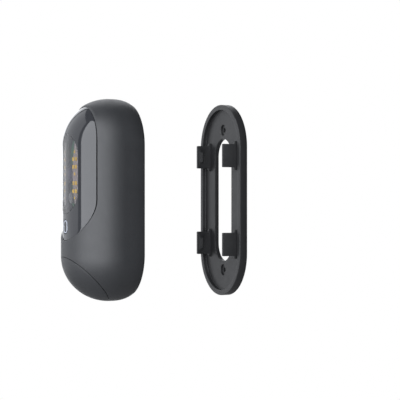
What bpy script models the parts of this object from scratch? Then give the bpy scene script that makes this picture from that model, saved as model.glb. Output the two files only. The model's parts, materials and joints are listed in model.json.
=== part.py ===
"""A battery video doorbell and the pill-shaped wall bracket that it clips onto.

Metres, +Z up. The origin is the middle of the bracket's back, on the wall, and the wall is the plane
y = 0. The front faces -Y. The body stands BODY_GAP in front of the wall, unclipped, and slides along
+Y onto the bracket. A depth is always measured forwards, along -Y: from the wall on the bracket, and
from the body's back plane on the body.
"""

import math

import bmesh
import bpy
from mathutils import Matrix, Vector

MM = 0.001
GAP = 0.3 * MM  # clearance between neighbouring solids

# The body: a capsule front drawn straight back to a flat rear
BODY_HALF_WIDTH = 32 * MM
BODY_HALF_HEIGHT = 71.2 * MM
BODY_STRAIGHT = 14.7 * MM
BODY_ROUND = 33.5 * MM
BODY_RISE = BODY_HALF_HEIGHT - BODY_HALF_WIDTH
BACK_TAPER_WIDTH = 0.03
BACK_TAPER_HEIGHT = 0.05
BACK_TAPER_CURVE = 3
WALL = 2.2 * MM
BODY_GAP = 79.3 * MM

# The wall bracket
BRACKET_HALF_WIDTH = 32 * MM
BRACKET_HALF_HEIGHT = 70 * MM
BRACKET_DEPTH = 6 * MM
BRACKET_RIM = 3.8 * MM
BRACKET_BASE = 3.2 * MM
SLOT_HALF_WIDTH = 13.1 * MM
SLOT_HALF_HEIGHT = 45 * MM
WALL_HOLE_HEIGHT = 51.4 * MM
WALL_HOLE_RADIUS = 1.8 * MM
WALL_HOLE_SINK_RADIUS = 3.9 * MM
WALL_HOLE_SINK = 1.3 * MM
CLIP_OFFSET = 20.85 * MM
CLIP_HEIGHT = 32 * MM
CLIP_HALF_LENGTH = 8.4 * MM
CLIP_ROOT_HALF_LENGTH = 10.4 * MM
CLIP_SHOULDER = 0.8 * MM
CLIP_NECK = 1.9 * MM
CLIP_THICKNESS = 2 * MM
CLIP_TIP = 14.2 * MM
BARB_HALF_LENGTH = 3.7 * MM
BARB_REACH = 1.1 * MM
BARB_START = 1.9 * MM
BARB_END = 4 * MM

# The glossy panel, the window and the button
PANEL_HALF_WIDTH = 26.2 * MM
PANEL_BOTTOM = 28 * MM
PANEL_ROUND = BODY_ROUND - 1.3 * MM
PANEL_RISE = BODY_RISE - 0.6 * MM
PANEL_THICKNESS = 2 * MM
WINDOW_HEIGHT = 18.2 * MM
WINDOW_HALF_WIDTH = 15.4 * MM
WINDOW_HALF_HEIGHT = 27.9 * MM
WINDOW_PROUD = 0.1 * MM
WINDOW_THICKNESS = 1.4 * MM
SHELF_ROUND = 30.5 * MM
SHELF_INSET = 1.7 * MM
BUTTON_HEIGHT = -18.6 * MM
BUTTON_HALF_WIDTH = 2.2 * MM
BUTTON_HALF_LENGTH = 3.5 * MM
BUTTON_PROUD = 0.1 * MM
BUTTON_TRAVEL = 0.6 * MM
SWITCH_FRONT = 37.4 * MM
LIGHT_RING_WIDTH = 0.7 * MM
STEM_RADIUS = 1.3 * MM
STRIP_OFFSET = 10.2 * MM
STRIP_HALF_WIDTH = 3 * MM
STRIP_HALF_HEIGHT = 21.8 * MM
BARREL_RADIUS = 6.6 * MM
LENS_RADIUS = 4.6 * MM

# The bottom cap is parted from the housing by a plane at 45 degrees
CAP_SEAM_DROP = 87.9 * MM
CAP_SEAM_GAP = 0.5 * MM
CAP_WALL = 3.2 * MM
CAP_CENTRE_DEPTH = 30.2 * MM
CAP_TONGUE_WALL = 1.4 * MM
CAP_TONGUE_LENGTH = 3.2 * MM
CAP_TONGUE_REACH = 2 * MM
BULKHEAD_INSET = 4 * MM
BULKHEAD_THICKNESS = 2 * MM
SOUND_SLOT_DEPTH = 25.2 * MM
SOUND_SLOT_PITCH = 2.8 * MM
SOUND_HOLE_RADIUS = 1.3 * MM
SOUND_HOLE_PITCH = 4.6 * MM
SOCKET_WIDTH = 9 * MM
SOCKET_HEIGHT = 3.3 * MM
SOCKET_LENGTH = 7.4 * MM

# Depths of the pieces inside the body
COVER_BACK = 0.2 * MM
COVER_FRONT = 2.7 * MM
POCKET_DEPTH = 8.6 * MM
SCREW_SINK = 1.9 * MM
SCREW_SINK_RADIUS = 2.6 * MM
SCREW_HEAD_RADIUS = 2.2 * MM
SCREW_HEAD_THICKNESS = 1.2 * MM
SCREW_HOLE_RADIUS = 1.4 * MM
SCREW_RADIUS = 1.05 * MM
SCREW_TIP = 12 * MM
SCREW_POINT = 1.4 * MM
CUP_WALL = 1.2 * MM
POCKET_PLAY = 0.8 * MM
TRAY_BACK = 10.6 * MM
TRAY_FRONT = 16.4 * MM
CELL_DEPTH = 21.4 * MM
CELL_RADIUS = 9.1 * MM
CELL_OFFSET = 9.4 * MM
CELL_BOTTOM = -34.4 * MM
CELL_TOP = 30.4 * MM
ANTENNA_BACK = 14.5 * MM
ANTENNA_FRONT = 19.5 * MM
BOARD_BACK = 31.8 * MM
BOARD_THICKNESS = 1.6 * MM
BOARD_FRONT = BOARD_BACK + BOARD_THICKNESS
BOARD_HOLE_RADIUS = 1.2 * MM
CAMERA_BOARD_BACK = 34.2 * MM
CAMERA_BOARD_FRONT = 35.2 * MM
LENS_SEAT = 42.1 * MM
BARREL_FRONT = 43.8 * MM
SENSOR_BOARD_BACK = 37.4 * MM
SENSOR_BOARD_FRONT = 38.4 * MM
BOSS_BACK = 4.5 * MM
BOSS_FRONT = 14 * MM
BOSS_RADIUS = 4.6 * MM
BOSS_REACH = 23.2 * MM
BOSS_WEB_REACH = 26.6 * MM
BOSS_WEB_RADIUS = 3.6 * MM
FRAME_ROUND = 29.5 * MM
FRAME_WALL = 1.6 * MM

# How finely round shapes are divided
ROUND_STEPS = 40
FRONT_STEPS = 9
BACK_STEPS = 3
ARC_STEPS = 20

# Cutters reach past what they cut, between these depths
CUT_BACK = 18 * MM
CUT_FRONT = 60 * MM
FRONT_CUT_BACK = 30 * MM

DOWN_AND_OUT = Vector((0, -1, -1)).normalized()
UP_AND_OUT = Vector((0, -1, 1)).normalized()
STAND_UP = Matrix.Rotation(math.radians(90), 4, "X")


# ---------------------------------------------------------------- scene, materials and frames

def start_scene():
    for obj in list(bpy.data.objects):
        bpy.data.objects.remove(obj, do_unlink=True)


def new_collection(name):
    collection = bpy.data.collections.new(name)
    bpy.context.scene.collection.children.link(collection)
    return collection


def new_material(name, colour, roughness, metallic=0.0):
    finish = bpy.data.materials.new(name)
    finish.use_nodes = True
    shader = finish.node_tree.nodes["Principled BSDF"]
    shader.inputs["Base Color"].default_value = (*colour, 1.0)
    shader.inputs["Roughness"].default_value = roughness
    shader.inputs["Metallic"].default_value = metallic
    finish.diffuse_color = (*colour, 1.0)
    return finish


def new_frame(name, place, carrier=None):
    """Add an empty that a moving group hangs from, at a place given in the body's own frame."""
    empty = bpy.data.objects.new(name, None)
    empty.empty_display_size = 10 * MM
    empty.location = place
    empty.parent = carrier
    PARTS.objects.link(empty)
    return empty


start_scene()
PARTS = new_collection("video_doorbell")
CUTTERS = new_collection("cutters")

SATIN_GREY = new_material("satin_grey_plastic", (0.021, 0.022, 0.0238), 0.47)
BRACKET_GREY = new_material("bracket_plastic", (0.009, 0.0093, 0.01), 0.5)
GLOSS_BLACK = new_material("gloss_panel", (0.022, 0.023, 0.026), 0.07)
WINDOW_TINT = new_material("window_tint", (0.02, 0.021, 0.026), 0.05)
LIGHT_GUIDE = new_material("light_guide", (0.3, 0.33, 0.4), 0.3)
BLACK_RUBBER = new_material("black_rubber", (0.02, 0.02, 0.02), 0.8)
BLACK_PLASTIC = new_material("black_plastic", (0.03, 0.03, 0.03), 0.5)
BOARD_GREEN = new_material("circuit_board", (0.02, 0.12, 0.06), 0.45)
FLEX_GREY = new_material("flex_circuit", (0.4, 0.34, 0.37), 0.4)
BARE_STEEL = new_material("bare_steel", (0.6, 0.6, 0.6), 0.3, 1.0)
LENS_GLASS = new_material("lens_glass", (0.05, 0.06, 0.08), 0.02)
CELL_WRAP = new_material("cell_wrap", (0.1, 0.25, 0.5), 0.35)
SILICON = new_material("silicon_die", (0.1, 0.1, 0.14), 0.2)

CAP_CENTRE = Vector((0, -CAP_CENTRE_DEPTH, CAP_CENTRE_DEPTH - CAP_SEAM_DROP))
BUTTON_CENTRE = Vector((0, -(BODY_STRAIGHT + PANEL_ROUND), BUTTON_HEIGHT))
BODY = new_frame("body_slide", (0, -BODY_GAP, 0))
CAP = new_frame("cap_slide", CAP_CENTRE, BODY)
BUTTON = new_frame("button_press", BUTTON_CENTRE, BODY)


# ---------------------------------------------------------------- helpers

def at(x, depth, height):
    """The point at a sideways place, a depth measured forwards and a height."""
    return Vector((x, -depth, height))


def put(name, mesh, carrier, finish=None, place=None):
    """Add a mesh as a part, or as a cutter when it has no finish. It is drawn in the body's frame."""
    obj = bpy.data.objects.new(name, mesh)
    if carrier is not None:
        obj.parent = carrier
        if carrier is not BODY:
            obj.matrix_parent_inverse = Matrix.Translation(-Vector(carrier.location))
    if place is not None:
        obj.matrix_basis = place
    if finish is None:
        CUTTERS.objects.link(obj)
        obj.hide_render = True
        obj.display_type = "WIRE"
        return obj
    PARTS.objects.link(obj)
    mesh.materials.append(finish)
    mesh.shade_smooth()
    mesh.set_sharp_from_angle(angle=math.radians(35))
    return obj


def finish_mesh(bm, name):
    mesh = bpy.data.meshes.new(name)
    bm.to_mesh(mesh)
    bm.free()
    return mesh


def boolean(obj, operation, *tools, solver="EXACT"):
    for tool in tools:
        modifier = obj.modifiers.new(tool.name, "BOOLEAN")
        modifier.operation = operation
        modifier.solver = solver
        modifier.object = tool


def carve(obj, operation, *tools):
    """A Boolean on a form whose many thin facets the exact solver leaves open."""
    boolean(obj, operation, *tools, solver="MANIFOLD")


def bevel(obj, width, segments=2):
    modifier = obj.modifiers.new("rounded_edges", "BEVEL")
    modifier.width = width
    modifier.segments = segments
    modifier.limit_method = "ANGLE"
    modifier.angle_limit = math.radians(40)


def solidify(obj, thickness):
    modifier = obj.modifiers.new("wall", "SOLIDIFY")
    modifier.thickness = thickness
    modifier.offset = -1
    modifier.use_even_offset = True


def block_mesh(name, centre, size, turn=None):
    """A box of a size given across, in depth and in height, turned about its own centre."""
    bm = bmesh.new()
    shape = Matrix.Diagonal((*size, 1))
    if turn is not None:
        shape = turn @ shape
    bmesh.ops.create_cube(bm, size=1, matrix=Matrix.Translation(centre) @ shape)
    return finish_mesh(bm, name)


def rod_mesh(name, start, end, radius, steps=24):
    """A round bar between two points."""
    axis = end - start
    turn = Vector((0, 0, 1)).rotation_difference(axis).to_matrix().to_4x4()
    bm = bmesh.new()
    bmesh.ops.create_cone(
        bm, cap_ends=True, segments=steps, radius1=radius, radius2=radius, depth=axis.length,
        matrix=Matrix.Translation((start + end) / 2) @ turn)
    return finish_mesh(bm, name)


def turned(name, profile, carrier, finish, place, closed=False, steps=28):
    """Turn a profile of (radius, height) points, listed from the top down, about its own Z axis."""
    bm = bmesh.new()
    corners = [bm.verts.new((radius, 0, height)) for radius, height in profile]
    followers = corners[1:]
    if closed:
        followers = followers + corners[:1]
    for first, second in zip(corners, followers):
        bm.edges.new((first, second))
    obj = put(name, finish_mesh(bm, name), carrier, finish, place)
    screw = obj.modifiers.new("turned", "SCREW")
    screw.axis = "Z"
    screw.steps = steps
    screw.render_steps = steps
    screw.use_merge_vertices = True
    screw.merge_threshold = 0.00001
    return obj


def forwards(x, height):
    """Place a turned piece so that its own Z axis points to the front and reads as depth."""
    return Matrix.Translation(at(x, 0, height)) @ STAND_UP


PLANES = {
    "across": STAND_UP,
    "side": Matrix(((0, 0, -1, 0), (-1, 0, 0, 0), (0, 1, 0, 0), (0, 0, 0, 1))),
    "level": Matrix(((1, 0, 0, 0), (0, -1, 0, 0), (0, 0, -1, 0), (0, 0, 0, 1))),
}


def outline_mesh(name, points, thickness, plane, middle):
    """Extrude a flat outline. Its points are (x, height) across, (depth, height) on the side view,
    or (x, depth) on the level one, and the extrusion is centred on the middle point."""
    curve = bpy.data.curves.new(name, "CURVE")
    curve.dimensions = "2D"
    curve.fill_mode = "BOTH"
    curve.extrude = thickness / 2
    spline = curve.splines.new("POLY")
    spline.points.add(len(points) - 1)
    for point, (first, second) in zip(spline.points, points):
        point.co = (first, second, 0, 1)
    spline.use_cyclic_u = True
    guide = bpy.data.objects.new(name, curve)
    CUTTERS.objects.link(guide)
    graph = bpy.context.evaluated_depsgraph_get()
    mesh = bpy.data.meshes.new_from_object(guide.evaluated_get(graph))
    bpy.data.objects.remove(guide, do_unlink=True)
    bpy.data.curves.remove(curve)
    bm = bmesh.new()
    bm.from_mesh(mesh)
    bmesh.ops.remove_doubles(bm, verts=bm.verts, dist=0.00001)
    bm.transform(Matrix.Translation(middle) @ PLANES[plane])
    bmesh.ops.recalc_face_normals(bm, faces=bm.faces)
    if bm.calc_volume(signed=True) < 0:
        bmesh.ops.reverse_faces(bm, faces=bm.faces)
    bm.to_mesh(mesh)
    bm.free()
    return mesh


def arc(radius_x, radius_z, centre_z, first, last, steps=ARC_STEPS):
    """Points along an elliptical arc between two angles in degrees."""
    points = []
    for step in range(steps + 1):
        angle = math.radians(first + (last - first) * step / steps)
        points.append((radius_x * math.cos(angle), centre_z + radius_z * math.sin(angle)))
    return points


def pill(half_width, half_height, centre_z=0.0, steps=ARC_STEPS):
    """A round-ended upright outline."""
    rise = half_height - half_width
    upper = arc(half_width, half_width, centre_z + rise, 0, 180, steps)
    lower = arc(half_width, half_width, centre_z - rise, 180, 360, steps)
    return upper + lower


def panel_outline(grow=0.0):
    """Round at the top, straight at the sides and half an ellipse at the bottom."""
    half_width = PANEL_HALF_WIDTH + grow
    upper = arc(half_width, half_width, BODY_RISE, 0, 180)
    lower = arc(half_width, PANEL_BOTTOM + grow, 0, 180, 360)
    return upper + lower


def lens_outline(centre_x, half_width, half_height, centre_z, steps=10):
    """A pointed upright oval between two equal arcs."""
    side = []
    for step in range(steps):
        share = 2 * step / steps - 1
        side.append((half_width * (1 - share * share), share * half_height))
    right = [(centre_x + bulge, centre_z + height) for bulge, height in side]
    left = [(centre_x - bulge, centre_z - height) for bulge, height in side]
    return right + left


def prism(name, points, back, front, carrier=None, finish=None):
    """An outline seen from the front, solid between two depths."""
    middle = at(0, (back + front) / 2, 0)
    mesh = outline_mesh(name, points, front - back, "across", middle)
    return put(name, mesh, carrier or BODY, finish)


def body_bmesh(half_width, round_depth, rise=BODY_RISE, back=0.0, closed=False):
    """The body's form: a half dome stretched forwards and up, drawn straight back and mirrored."""
    bm = bmesh.new()
    bmesh.ops.create_uvsphere(
        bm, u_segments=ROUND_STEPS, v_segments=2 * FRONT_STEPS, radius=1, matrix=STAND_UP)
    for normal in ((0, 1, 0), (0, 0, -1)):
        geometry = bm.verts[:] + bm.edges[:] + bm.faces[:]
        bmesh.ops.bisect_plane(
            bm, geom=geometry, dist=0.0001, plane_co=(0, 0, 0), plane_no=normal, clear_outer=True)
    for vert in bm.verts:
        x, y, z = vert.co
        vert.co = (x * half_width, y * round_depth - BODY_STRAIGHT, z * half_width + rise)
    extrude_rim(bm, 2, rise, lambda co: (co.x, co.y, 0))
    height = -BODY_STRAIGHT
    for step in range(BACK_STEPS):
        depth = BODY_STRAIGHT + (back - BODY_STRAIGHT) * (step + 1) / BACK_STEPS
        share = (1 - depth / BODY_STRAIGHT) ** BACK_TAPER_CURVE
        before = (1 + height / BODY_STRAIGHT) ** BACK_TAPER_CURVE
        wide = (1 - BACK_TAPER_WIDTH * share) / (1 - BACK_TAPER_WIDTH * before)
        tall = (1 - BACK_TAPER_HEIGHT * share) / (1 - BACK_TAPER_HEIGHT * before)
        extrude_rim(bm, 1, height, lambda co: (co.x * wide, -depth, co.z * tall))
        height = -depth
    geometry = bm.verts[:] + bm.edges[:] + bm.faces[:]
    bmesh.ops.mirror(bm, geom=geometry, matrix=Matrix(), merge_dist=0.00001, axis="Z")
    bmesh.ops.remove_doubles(bm, verts=bm.verts, dist=0.00001)
    rim = [edge for edge in bm.edges if edge.is_boundary]
    lid = bmesh.ops.holes_fill(bm, edges=rim, sides=0)["faces"]
    bmesh.ops.recalc_face_normals(bm, faces=bm.faces)
    if not closed:
        bmesh.ops.delete(bm, geom=lid, context="FACES_ONLY")
    return bm


def extrude_rim(bm, axis, level, move):
    """Extrude the open edges that lie at a level on an axis, and move the new rim."""
    rim = []
    for edge in bm.edges:
        if edge.is_boundary and all(abs(vert.co[axis] - level) < 0.000001 for vert in edge.verts):
            rim.append(edge)
    made = bmesh.ops.extrude_edge_only(bm, edges=rim)["geom"]
    for item in made:
        if isinstance(item, bmesh.types.BMVert):
            item.co = move(item.co)


def body_form(name, inset, round_depth, carrier, finish=None, **form):
    bm = body_bmesh(BODY_HALF_WIDTH - inset, round_depth, **form)
    return put(name, finish_mesh(bm, name), carrier, finish)


def front_form(name, inset, round_depth, carrier, finish=None):
    """The form of the panel and of what lies against it, whose dome ends lower than the housing's."""
    return body_form(name, inset, round_depth, carrier, finish, rise=PANEL_RISE)


def slab(name, back, front):
    """A wide block between two depths, to keep only that layer of a form."""
    return put(name, block_mesh(name, at(0, (back + front) / 2, 0), (0.1, front - back, 0.2)), BODY)


def seam_turn():
    """Turn a piece so that its depth runs down and out, square to the cap's seam."""
    return Matrix.Rotation(math.radians(45), 4, "X")


def seam_block(name, near, far):
    """A wide block beyond the cap's seam, between two distances measured down and out from it."""
    centre = CAP_CENTRE + DOWN_AND_OUT * (near + far) / 2
    return put(name, block_mesh(name, centre, (0.1, far - near, 0.2), seam_turn()), BODY)


# ---------------------------------------------------------------- the wall bracket

def clip_tools(side, level):
    """One snap clip: an upright plate with a flared root and a barb that faces the slot."""
    name = "clip_%d_%d" % (side, level)
    height = level * CLIP_HEIGHT
    root = BRACKET_BASE - 1.2 * MM
    shoulder = BRACKET_BASE + CLIP_SHOULDER
    neck = BRACKET_BASE + CLIP_NECK
    half_plate = [
        (root, CLIP_ROOT_HALF_LENGTH), (shoulder, CLIP_ROOT_HALF_LENGTH), (neck, CLIP_HALF_LENGTH),
        (CLIP_TIP, CLIP_HALF_LENGTH)]
    plate = half_plate + [(depth, -reach) for depth, reach in reversed(half_plate)]
    plate_mesh = outline_mesh(
        name, plate, CLIP_THICKNESS, "side", Vector((side * CLIP_OFFSET, 0, height)))
    inner = CLIP_OFFSET - CLIP_THICKNESS / 2
    root_x = side * (inner + CLIP_THICKNESS / 4)
    barb = [
        (root_x, CLIP_TIP - BARB_START + 0.3 * MM), (side * inner, CLIP_TIP - BARB_START),
        (side * (inner - BARB_REACH), CLIP_TIP - BARB_END), (root_x, CLIP_TIP - BARB_END)]
    barb_mesh = outline_mesh(
        name + "_barb", barb, 2 * BARB_HALF_LENGTH, "level", Vector((0, 0, height)))
    return [put(name, plate_mesh, None), put(name + "_barb", barb_mesh, None)]


def make_wall_bracket():
    outline = pill(BRACKET_HALF_WIDTH, BRACKET_HALF_HEIGHT)
    mesh = outline_mesh(
        "wall_bracket", outline, BRACKET_DEPTH, "across", at(0, BRACKET_DEPTH / 2, 0))
    bracket = put("wall_bracket", mesh, None, BRACKET_GREY)
    bevel(bracket, 0.4 * MM)
    recess_depth = 4 * MM
    recess = outline_mesh(
        "bracket_recess", pill(BRACKET_HALF_WIDTH - BRACKET_RIM, BRACKET_HALF_HEIGHT - BRACKET_RIM),
        recess_depth, "across", at(0, BRACKET_BASE + recess_depth / 2, 0))
    slot = outline_mesh(
        "bracket_slot", pill(SLOT_HALF_WIDTH, SLOT_HALF_HEIGHT), 4 * BRACKET_DEPTH, "across",
        at(0, 0, 0))
    carve(bracket, "DIFFERENCE", put("bracket_recess", recess, None), put("bracket_slot", slot, None))
    for level in (-1, 1):
        height = level * WALL_HOLE_HEIGHT
        through = rod_mesh(
            "wall_hole", at(0, -BRACKET_DEPTH, height), at(0, BRACKET_DEPTH, height), WALL_HOLE_RADIUS)
        sink = rod_mesh(
            "wall_hole_sink", at(0, BRACKET_BASE - WALL_HOLE_SINK, height),
            at(0, BRACKET_DEPTH, height), WALL_HOLE_SINK_RADIUS)
        carve(bracket, "DIFFERENCE", put("wall_hole", through, None), put("wall_hole_sink", sink, None))
    for side in (-1, 1):
        for level in (-1, 1):
            carve(bracket, "UNION", *clip_tools(side, level))


# ---------------------------------------------------------------- the housing and its back

def boss_places(reach=BOSS_REACH):
    """Across and height of each screw boss, on the diagonals of the body's two round ends."""
    spread = reach * math.sqrt(0.5)
    return [(side * spread, level * (BODY_RISE + spread)) for level in (1, -1) for side in (-1, 1)]


def make_housing():
    housing = body_form("housing", 0, BODY_ROUND, BODY, SATIN_GREY, closed=True)
    hollow = body_form("housing_hollow", WALL, BODY_ROUND - WALL, BODY, back=-MM, closed=True)
    opening = prism("panel_opening", panel_outline(GAP), CUT_BACK, CUT_FRONT)
    carve(housing, "DIFFERENCE", hollow, opening, seam_block("cap_side", -CAP_SEAM_GAP / 2, CUT_FRONT))
    bulkhead = body_form("bulkhead", WALL / 2, BODY_ROUND - WALL / 2, BODY, closed=True)
    layer = seam_block("bulkhead_layer", -BULKHEAD_INSET - BULKHEAD_THICKNESS, -BULKHEAD_INSET)
    carve(bulkhead, "INTERSECT", layer)
    carve(housing, "UNION", bulkhead)
    for (x, height), (web_x, web_height) in zip(boss_places(), boss_places(BOSS_WEB_REACH)):
        boss = rod_mesh("boss", at(x, BOSS_BACK, height), at(x, BOSS_FRONT, height), BOSS_RADIUS)
        web = rod_mesh(
            "boss_web", at(web_x, BOSS_BACK + MM, web_height), at(web_x, BOSS_FRONT - MM, web_height),
            BOSS_WEB_RADIUS)
        hole = rod_mesh(
            "boss_hole", at(x, 0, height), at(x, BOSS_FRONT - 1.5 * MM, height), SCREW_HOLE_RADIUS, 12)
        carve(housing, "UNION", put("boss", boss, BODY), put("boss_web", web, BODY))
        carve(housing, "DIFFERENCE", put("boss_hole", hole, BODY))
    socket = block_mesh(
        "socket_hole", socket_centre(), (SOCKET_WIDTH + 0.6 * MM, 12 * MM, SOCKET_HEIGHT + 0.6 * MM),
        seam_turn())
    carve(housing, "DIFFERENCE", put("socket_hole", socket, BODY))
    for column in (-1, 0, 1):
        for row in (-1, 0, 1):
            middle = (
                speaker_centre() + UP_AND_OUT * row * SOUND_HOLE_PITCH
                + Vector((column * SOUND_HOLE_PITCH, 0, 0)))
            hole = rod_mesh(
                "sound_hole", middle, middle + DOWN_AND_OUT * 10 * MM, SOUND_HOLE_RADIUS, 12)
            carve(housing, "DIFFERENCE", put("sound_hole", hole, BODY))


def make_rear_cover():
    cover = body_form(
        "rear_cover", WALL + GAP, BODY_ROUND - WALL, BODY, SATIN_GREY, closed=True)
    boolean(cover, "INTERSECT", slab("cover_layer", COVER_BACK, COVER_FRONT))
    wide = CLIP_THICKNESS + BARB_REACH + POCKET_PLAY
    middle = CLIP_OFFSET - BARB_REACH / 2
    tall = 2 * CLIP_HALF_LENGTH + POCKET_PLAY
    cup_front = POCKET_DEPTH + CUP_WALL
    cup_back = COVER_FRONT - 0.7 * MM
    for side in (-1, 1):
        for level in (-1, 1):
            cup = block_mesh(
                "clip_cup", at(side * middle, (cup_front + cup_back) / 2, level * CLIP_HEIGHT),
                (wide + 2 * CUP_WALL, cup_front - cup_back, tall + 2 * CUP_WALL))
            boolean(cover, "UNION", put("clip_cup", cup, BODY))
            pocket = block_mesh(
                "clip_pocket", at(side * middle, 0, level * CLIP_HEIGHT), (wide, 2 * POCKET_DEPTH, tall))
            boolean(cover, "DIFFERENCE", put("clip_pocket", pocket, BODY))
    for x, height in boss_places():
        hole = rod_mesh(
            "screw_hole", at(x, -MM, height), at(x, COVER_FRONT + MM, height), SCREW_HOLE_RADIUS, 12)
        sink = rod_mesh(
            "screw_sink", at(x, -MM, height), at(x, SCREW_SINK, height), SCREW_SINK_RADIUS, 16)
        boolean(cover, "DIFFERENCE", put("screw_hole", hole, BODY), put("screw_sink", sink, BODY))


def make_cover_screws():
    names = ("upper_left", "upper_right", "lower_left", "lower_right")
    head_front = SCREW_SINK - GAP
    head_back = head_front - SCREW_HEAD_THICKNESS
    profile = [
        (0, SCREW_TIP), (SCREW_RADIUS, SCREW_TIP - SCREW_POINT), (SCREW_RADIUS, head_front),
        (SCREW_HEAD_RADIUS, head_front), (SCREW_HEAD_RADIUS, head_back), (0, head_back)]
    for name, (x, height) in zip(names, boss_places()):
        screw = turned("cover_screw_" + name, profile, BODY, BARE_STEEL, forwards(x, height), steps=16)
        drive = rod_mesh(
            "screw_drive", at(x, 0, height), at(x, head_back + 0.8 * MM, height), MM, 6)
        boolean(screw, "DIFFERENCE", put("screw_drive", drive, BODY))


def make_rear_gasket():
    gasket = body_form(
        "rear_gasket", WALL + GAP, BODY_ROUND - WALL, BODY, BLACK_RUBBER, closed=True)
    boolean(gasket, "INTERSECT", slab("gasket_layer", COVER_FRONT + GAP, BOSS_BACK - GAP))
    gasket_width = 1.5 * MM
    hollow = body_form(
        "gasket_hollow", WALL + GAP + gasket_width, BODY_ROUND - WALL - 2 * MM, BODY, back=-MM, closed=True)
    boolean(gasket, "DIFFERENCE", hollow)


# ---------------------------------------------------------------- the bottom cap

def make_bottom_cap():
    cap = body_form("bottom_cap", 0, BODY_ROUND, CAP, SATIN_GREY)
    solidify(cap, CAP_WALL)
    carve(cap, "INTERSECT", seam_block("cap_layer", CAP_SEAM_GAP / 2, CUT_FRONT))
    carve(cap, "UNION", make_cap_tongue())
    for row in (-1, 0, 1):
        middle = at(0, SOUND_SLOT_DEPTH + row * SOUND_SLOT_PITCH, -BODY_HALF_HEIGHT)
        slot = block_mesh("sound_slot", middle, (9 * MM, 1.3 * MM, 20 * MM))
        carve(cap, "DIFFERENCE", put("sound_slot", slot, BODY))


def make_cap_tongue():
    """A ribbon that stands on the seam's own section, so that it draws straight out of the housing."""
    inset = WALL + 0.4 * MM
    bm = body_bmesh(BODY_HALF_WIDTH - inset, BODY_ROUND - inset, closed=True)
    geometry = bm.verts[:] + bm.edges[:] + bm.faces[:]
    bmesh.ops.bisect_plane(
        bm, geom=geometry, dist=0.000001, plane_co=CAP_CENTRE, plane_no=DOWN_AND_OUT,
        clear_inner=True, clear_outer=True)
    bmesh.ops.translate(bm, verts=bm.verts, vec=DOWN_AND_OUT * -CAP_TONGUE_REACH)
    made = bmesh.ops.extrude_edge_only(bm, edges=bm.edges[:])["geom"]
    lower = [item for item in made if isinstance(item, bmesh.types.BMVert)]
    bmesh.ops.translate(bm, verts=lower, vec=DOWN_AND_OUT * CAP_TONGUE_LENGTH)
    bmesh.ops.recalc_face_normals(bm, faces=bm.faces)
    face = max(bm.faces, key=lambda one: one.calc_center_median().x)
    if face.normal.x < 0:
        bmesh.ops.reverse_faces(bm, faces=bm.faces)
    tongue = put("cap_tongue", finish_mesh(bm, "cap_tongue"), BODY)
    solidify(tongue, CAP_TONGUE_WALL)
    return tongue


# ---------------------------------------------------------------- the front

def make_front_frame():
    frame = front_form("front_frame", WALL + GAP, FRAME_ROUND, BODY, BLACK_PLASTIC)
    solidify(frame, FRAME_WALL)
    keep_bottom, keep_top = -33 * MM, 75 * MM
    keep = block_mesh(
        "frame_keep", at(0, 40 * MM, (keep_bottom + keep_top) / 2), (0.1, 40 * MM, keep_top - keep_bottom))
    window = prism(
        "frame_window", window_outline(-1.5 * MM), FRONT_CUT_BACK - 5 * MM, CUT_FRONT)
    stem = rod_mesh(
        "stem_hole", at(0, FRONT_CUT_BACK, BUTTON_HEIGHT), at(0, CUT_FRONT, BUTTON_HEIGHT),
        STEM_RADIUS + 0.7 * MM)
    boolean(frame, "INTERSECT", put("frame_keep", keep, BODY))
    boolean(frame, "DIFFERENCE", window, put("stem_hole", stem, BODY))
    for height, front in board_screw_places():
        post = rod_mesh(
            "frame_post", at(0, BOARD_FRONT + GAP, height), at(0, front, height), 2.4 * MM, 16)
        hole = rod_mesh(
            "post_hole", at(0, BOARD_FRONT - MM, height), at(0, BOARD_FRONT + 5 * MM, height),
            BOARD_HOLE_RADIUS, 12)
        boolean(frame, "UNION", put("frame_post", post, BODY))
        boolean(frame, "DIFFERENCE", put("post_hole", hole, BODY))


def window_outline(grow=0.0):
    return pill(WINDOW_HALF_WIDTH + grow, WINDOW_HALF_HEIGHT + grow, WINDOW_HEIGHT)


def button_outline(grow=0.0):
    return pill(BUTTON_HALF_WIDTH + grow, BUTTON_HALF_LENGTH + grow, BUTTON_HEIGHT, 8)


def front_prism(name, points, reach=0.0):
    """A cutter or keeper through everything at the front. A reach makes it longer than its fellows."""
    return prism(name, points, FRONT_CUT_BACK - reach, CUT_FRONT + reach)


def make_front_panel():
    panel = front_form("front_panel", 0, PANEL_ROUND, BODY, GLOSS_BLACK)
    solidify(panel, PANEL_THICKNESS)
    carve(panel, "INTERSECT", prism("panel_outline", panel_outline(), CUT_BACK, CUT_FRONT))
    window = front_prism("panel_window", window_outline(GAP))
    button = front_prism("panel_button", button_outline(3 * GAP + LIGHT_RING_WIDTH))
    carve(panel, "DIFFERENCE", window, button)


def make_window_cover():
    window = front_form(
        "window_cover", -WINDOW_PROUD, PANEL_ROUND + WINDOW_PROUD, BODY, WINDOW_TINT)
    solidify(window, WINDOW_THICKNESS)
    boolean(window, "INTERSECT", front_prism("window_outline", window_outline()))


def make_window_gasket():
    gasket = front_form("window_gasket", SHELF_INSET, SHELF_ROUND, BODY, BLACK_RUBBER)
    solidify(gasket, 0.7 * MM)
    boolean(gasket, "INTERSECT", front_prism("gasket_outer", window_outline(-0.2 * MM)))
    boolean(gasket, "DIFFERENCE", front_prism("gasket_inner", window_outline(-1.4 * MM), 2 * MM))


def make_emitter_strips():
    for name, side in (("left", -1), ("right", 1)):
        strip = front_form("emitter_strip_" + name, SHELF_INSET, SHELF_ROUND, BODY, FLEX_GREY)
        solidify(strip, 0.5 * MM)
        outline = lens_outline(
            side * STRIP_OFFSET, STRIP_HALF_WIDTH, STRIP_HALF_HEIGHT, WINDOW_HEIGHT)
        boolean(strip, "INTERSECT", front_prism("strip_outline", outline))


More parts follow.
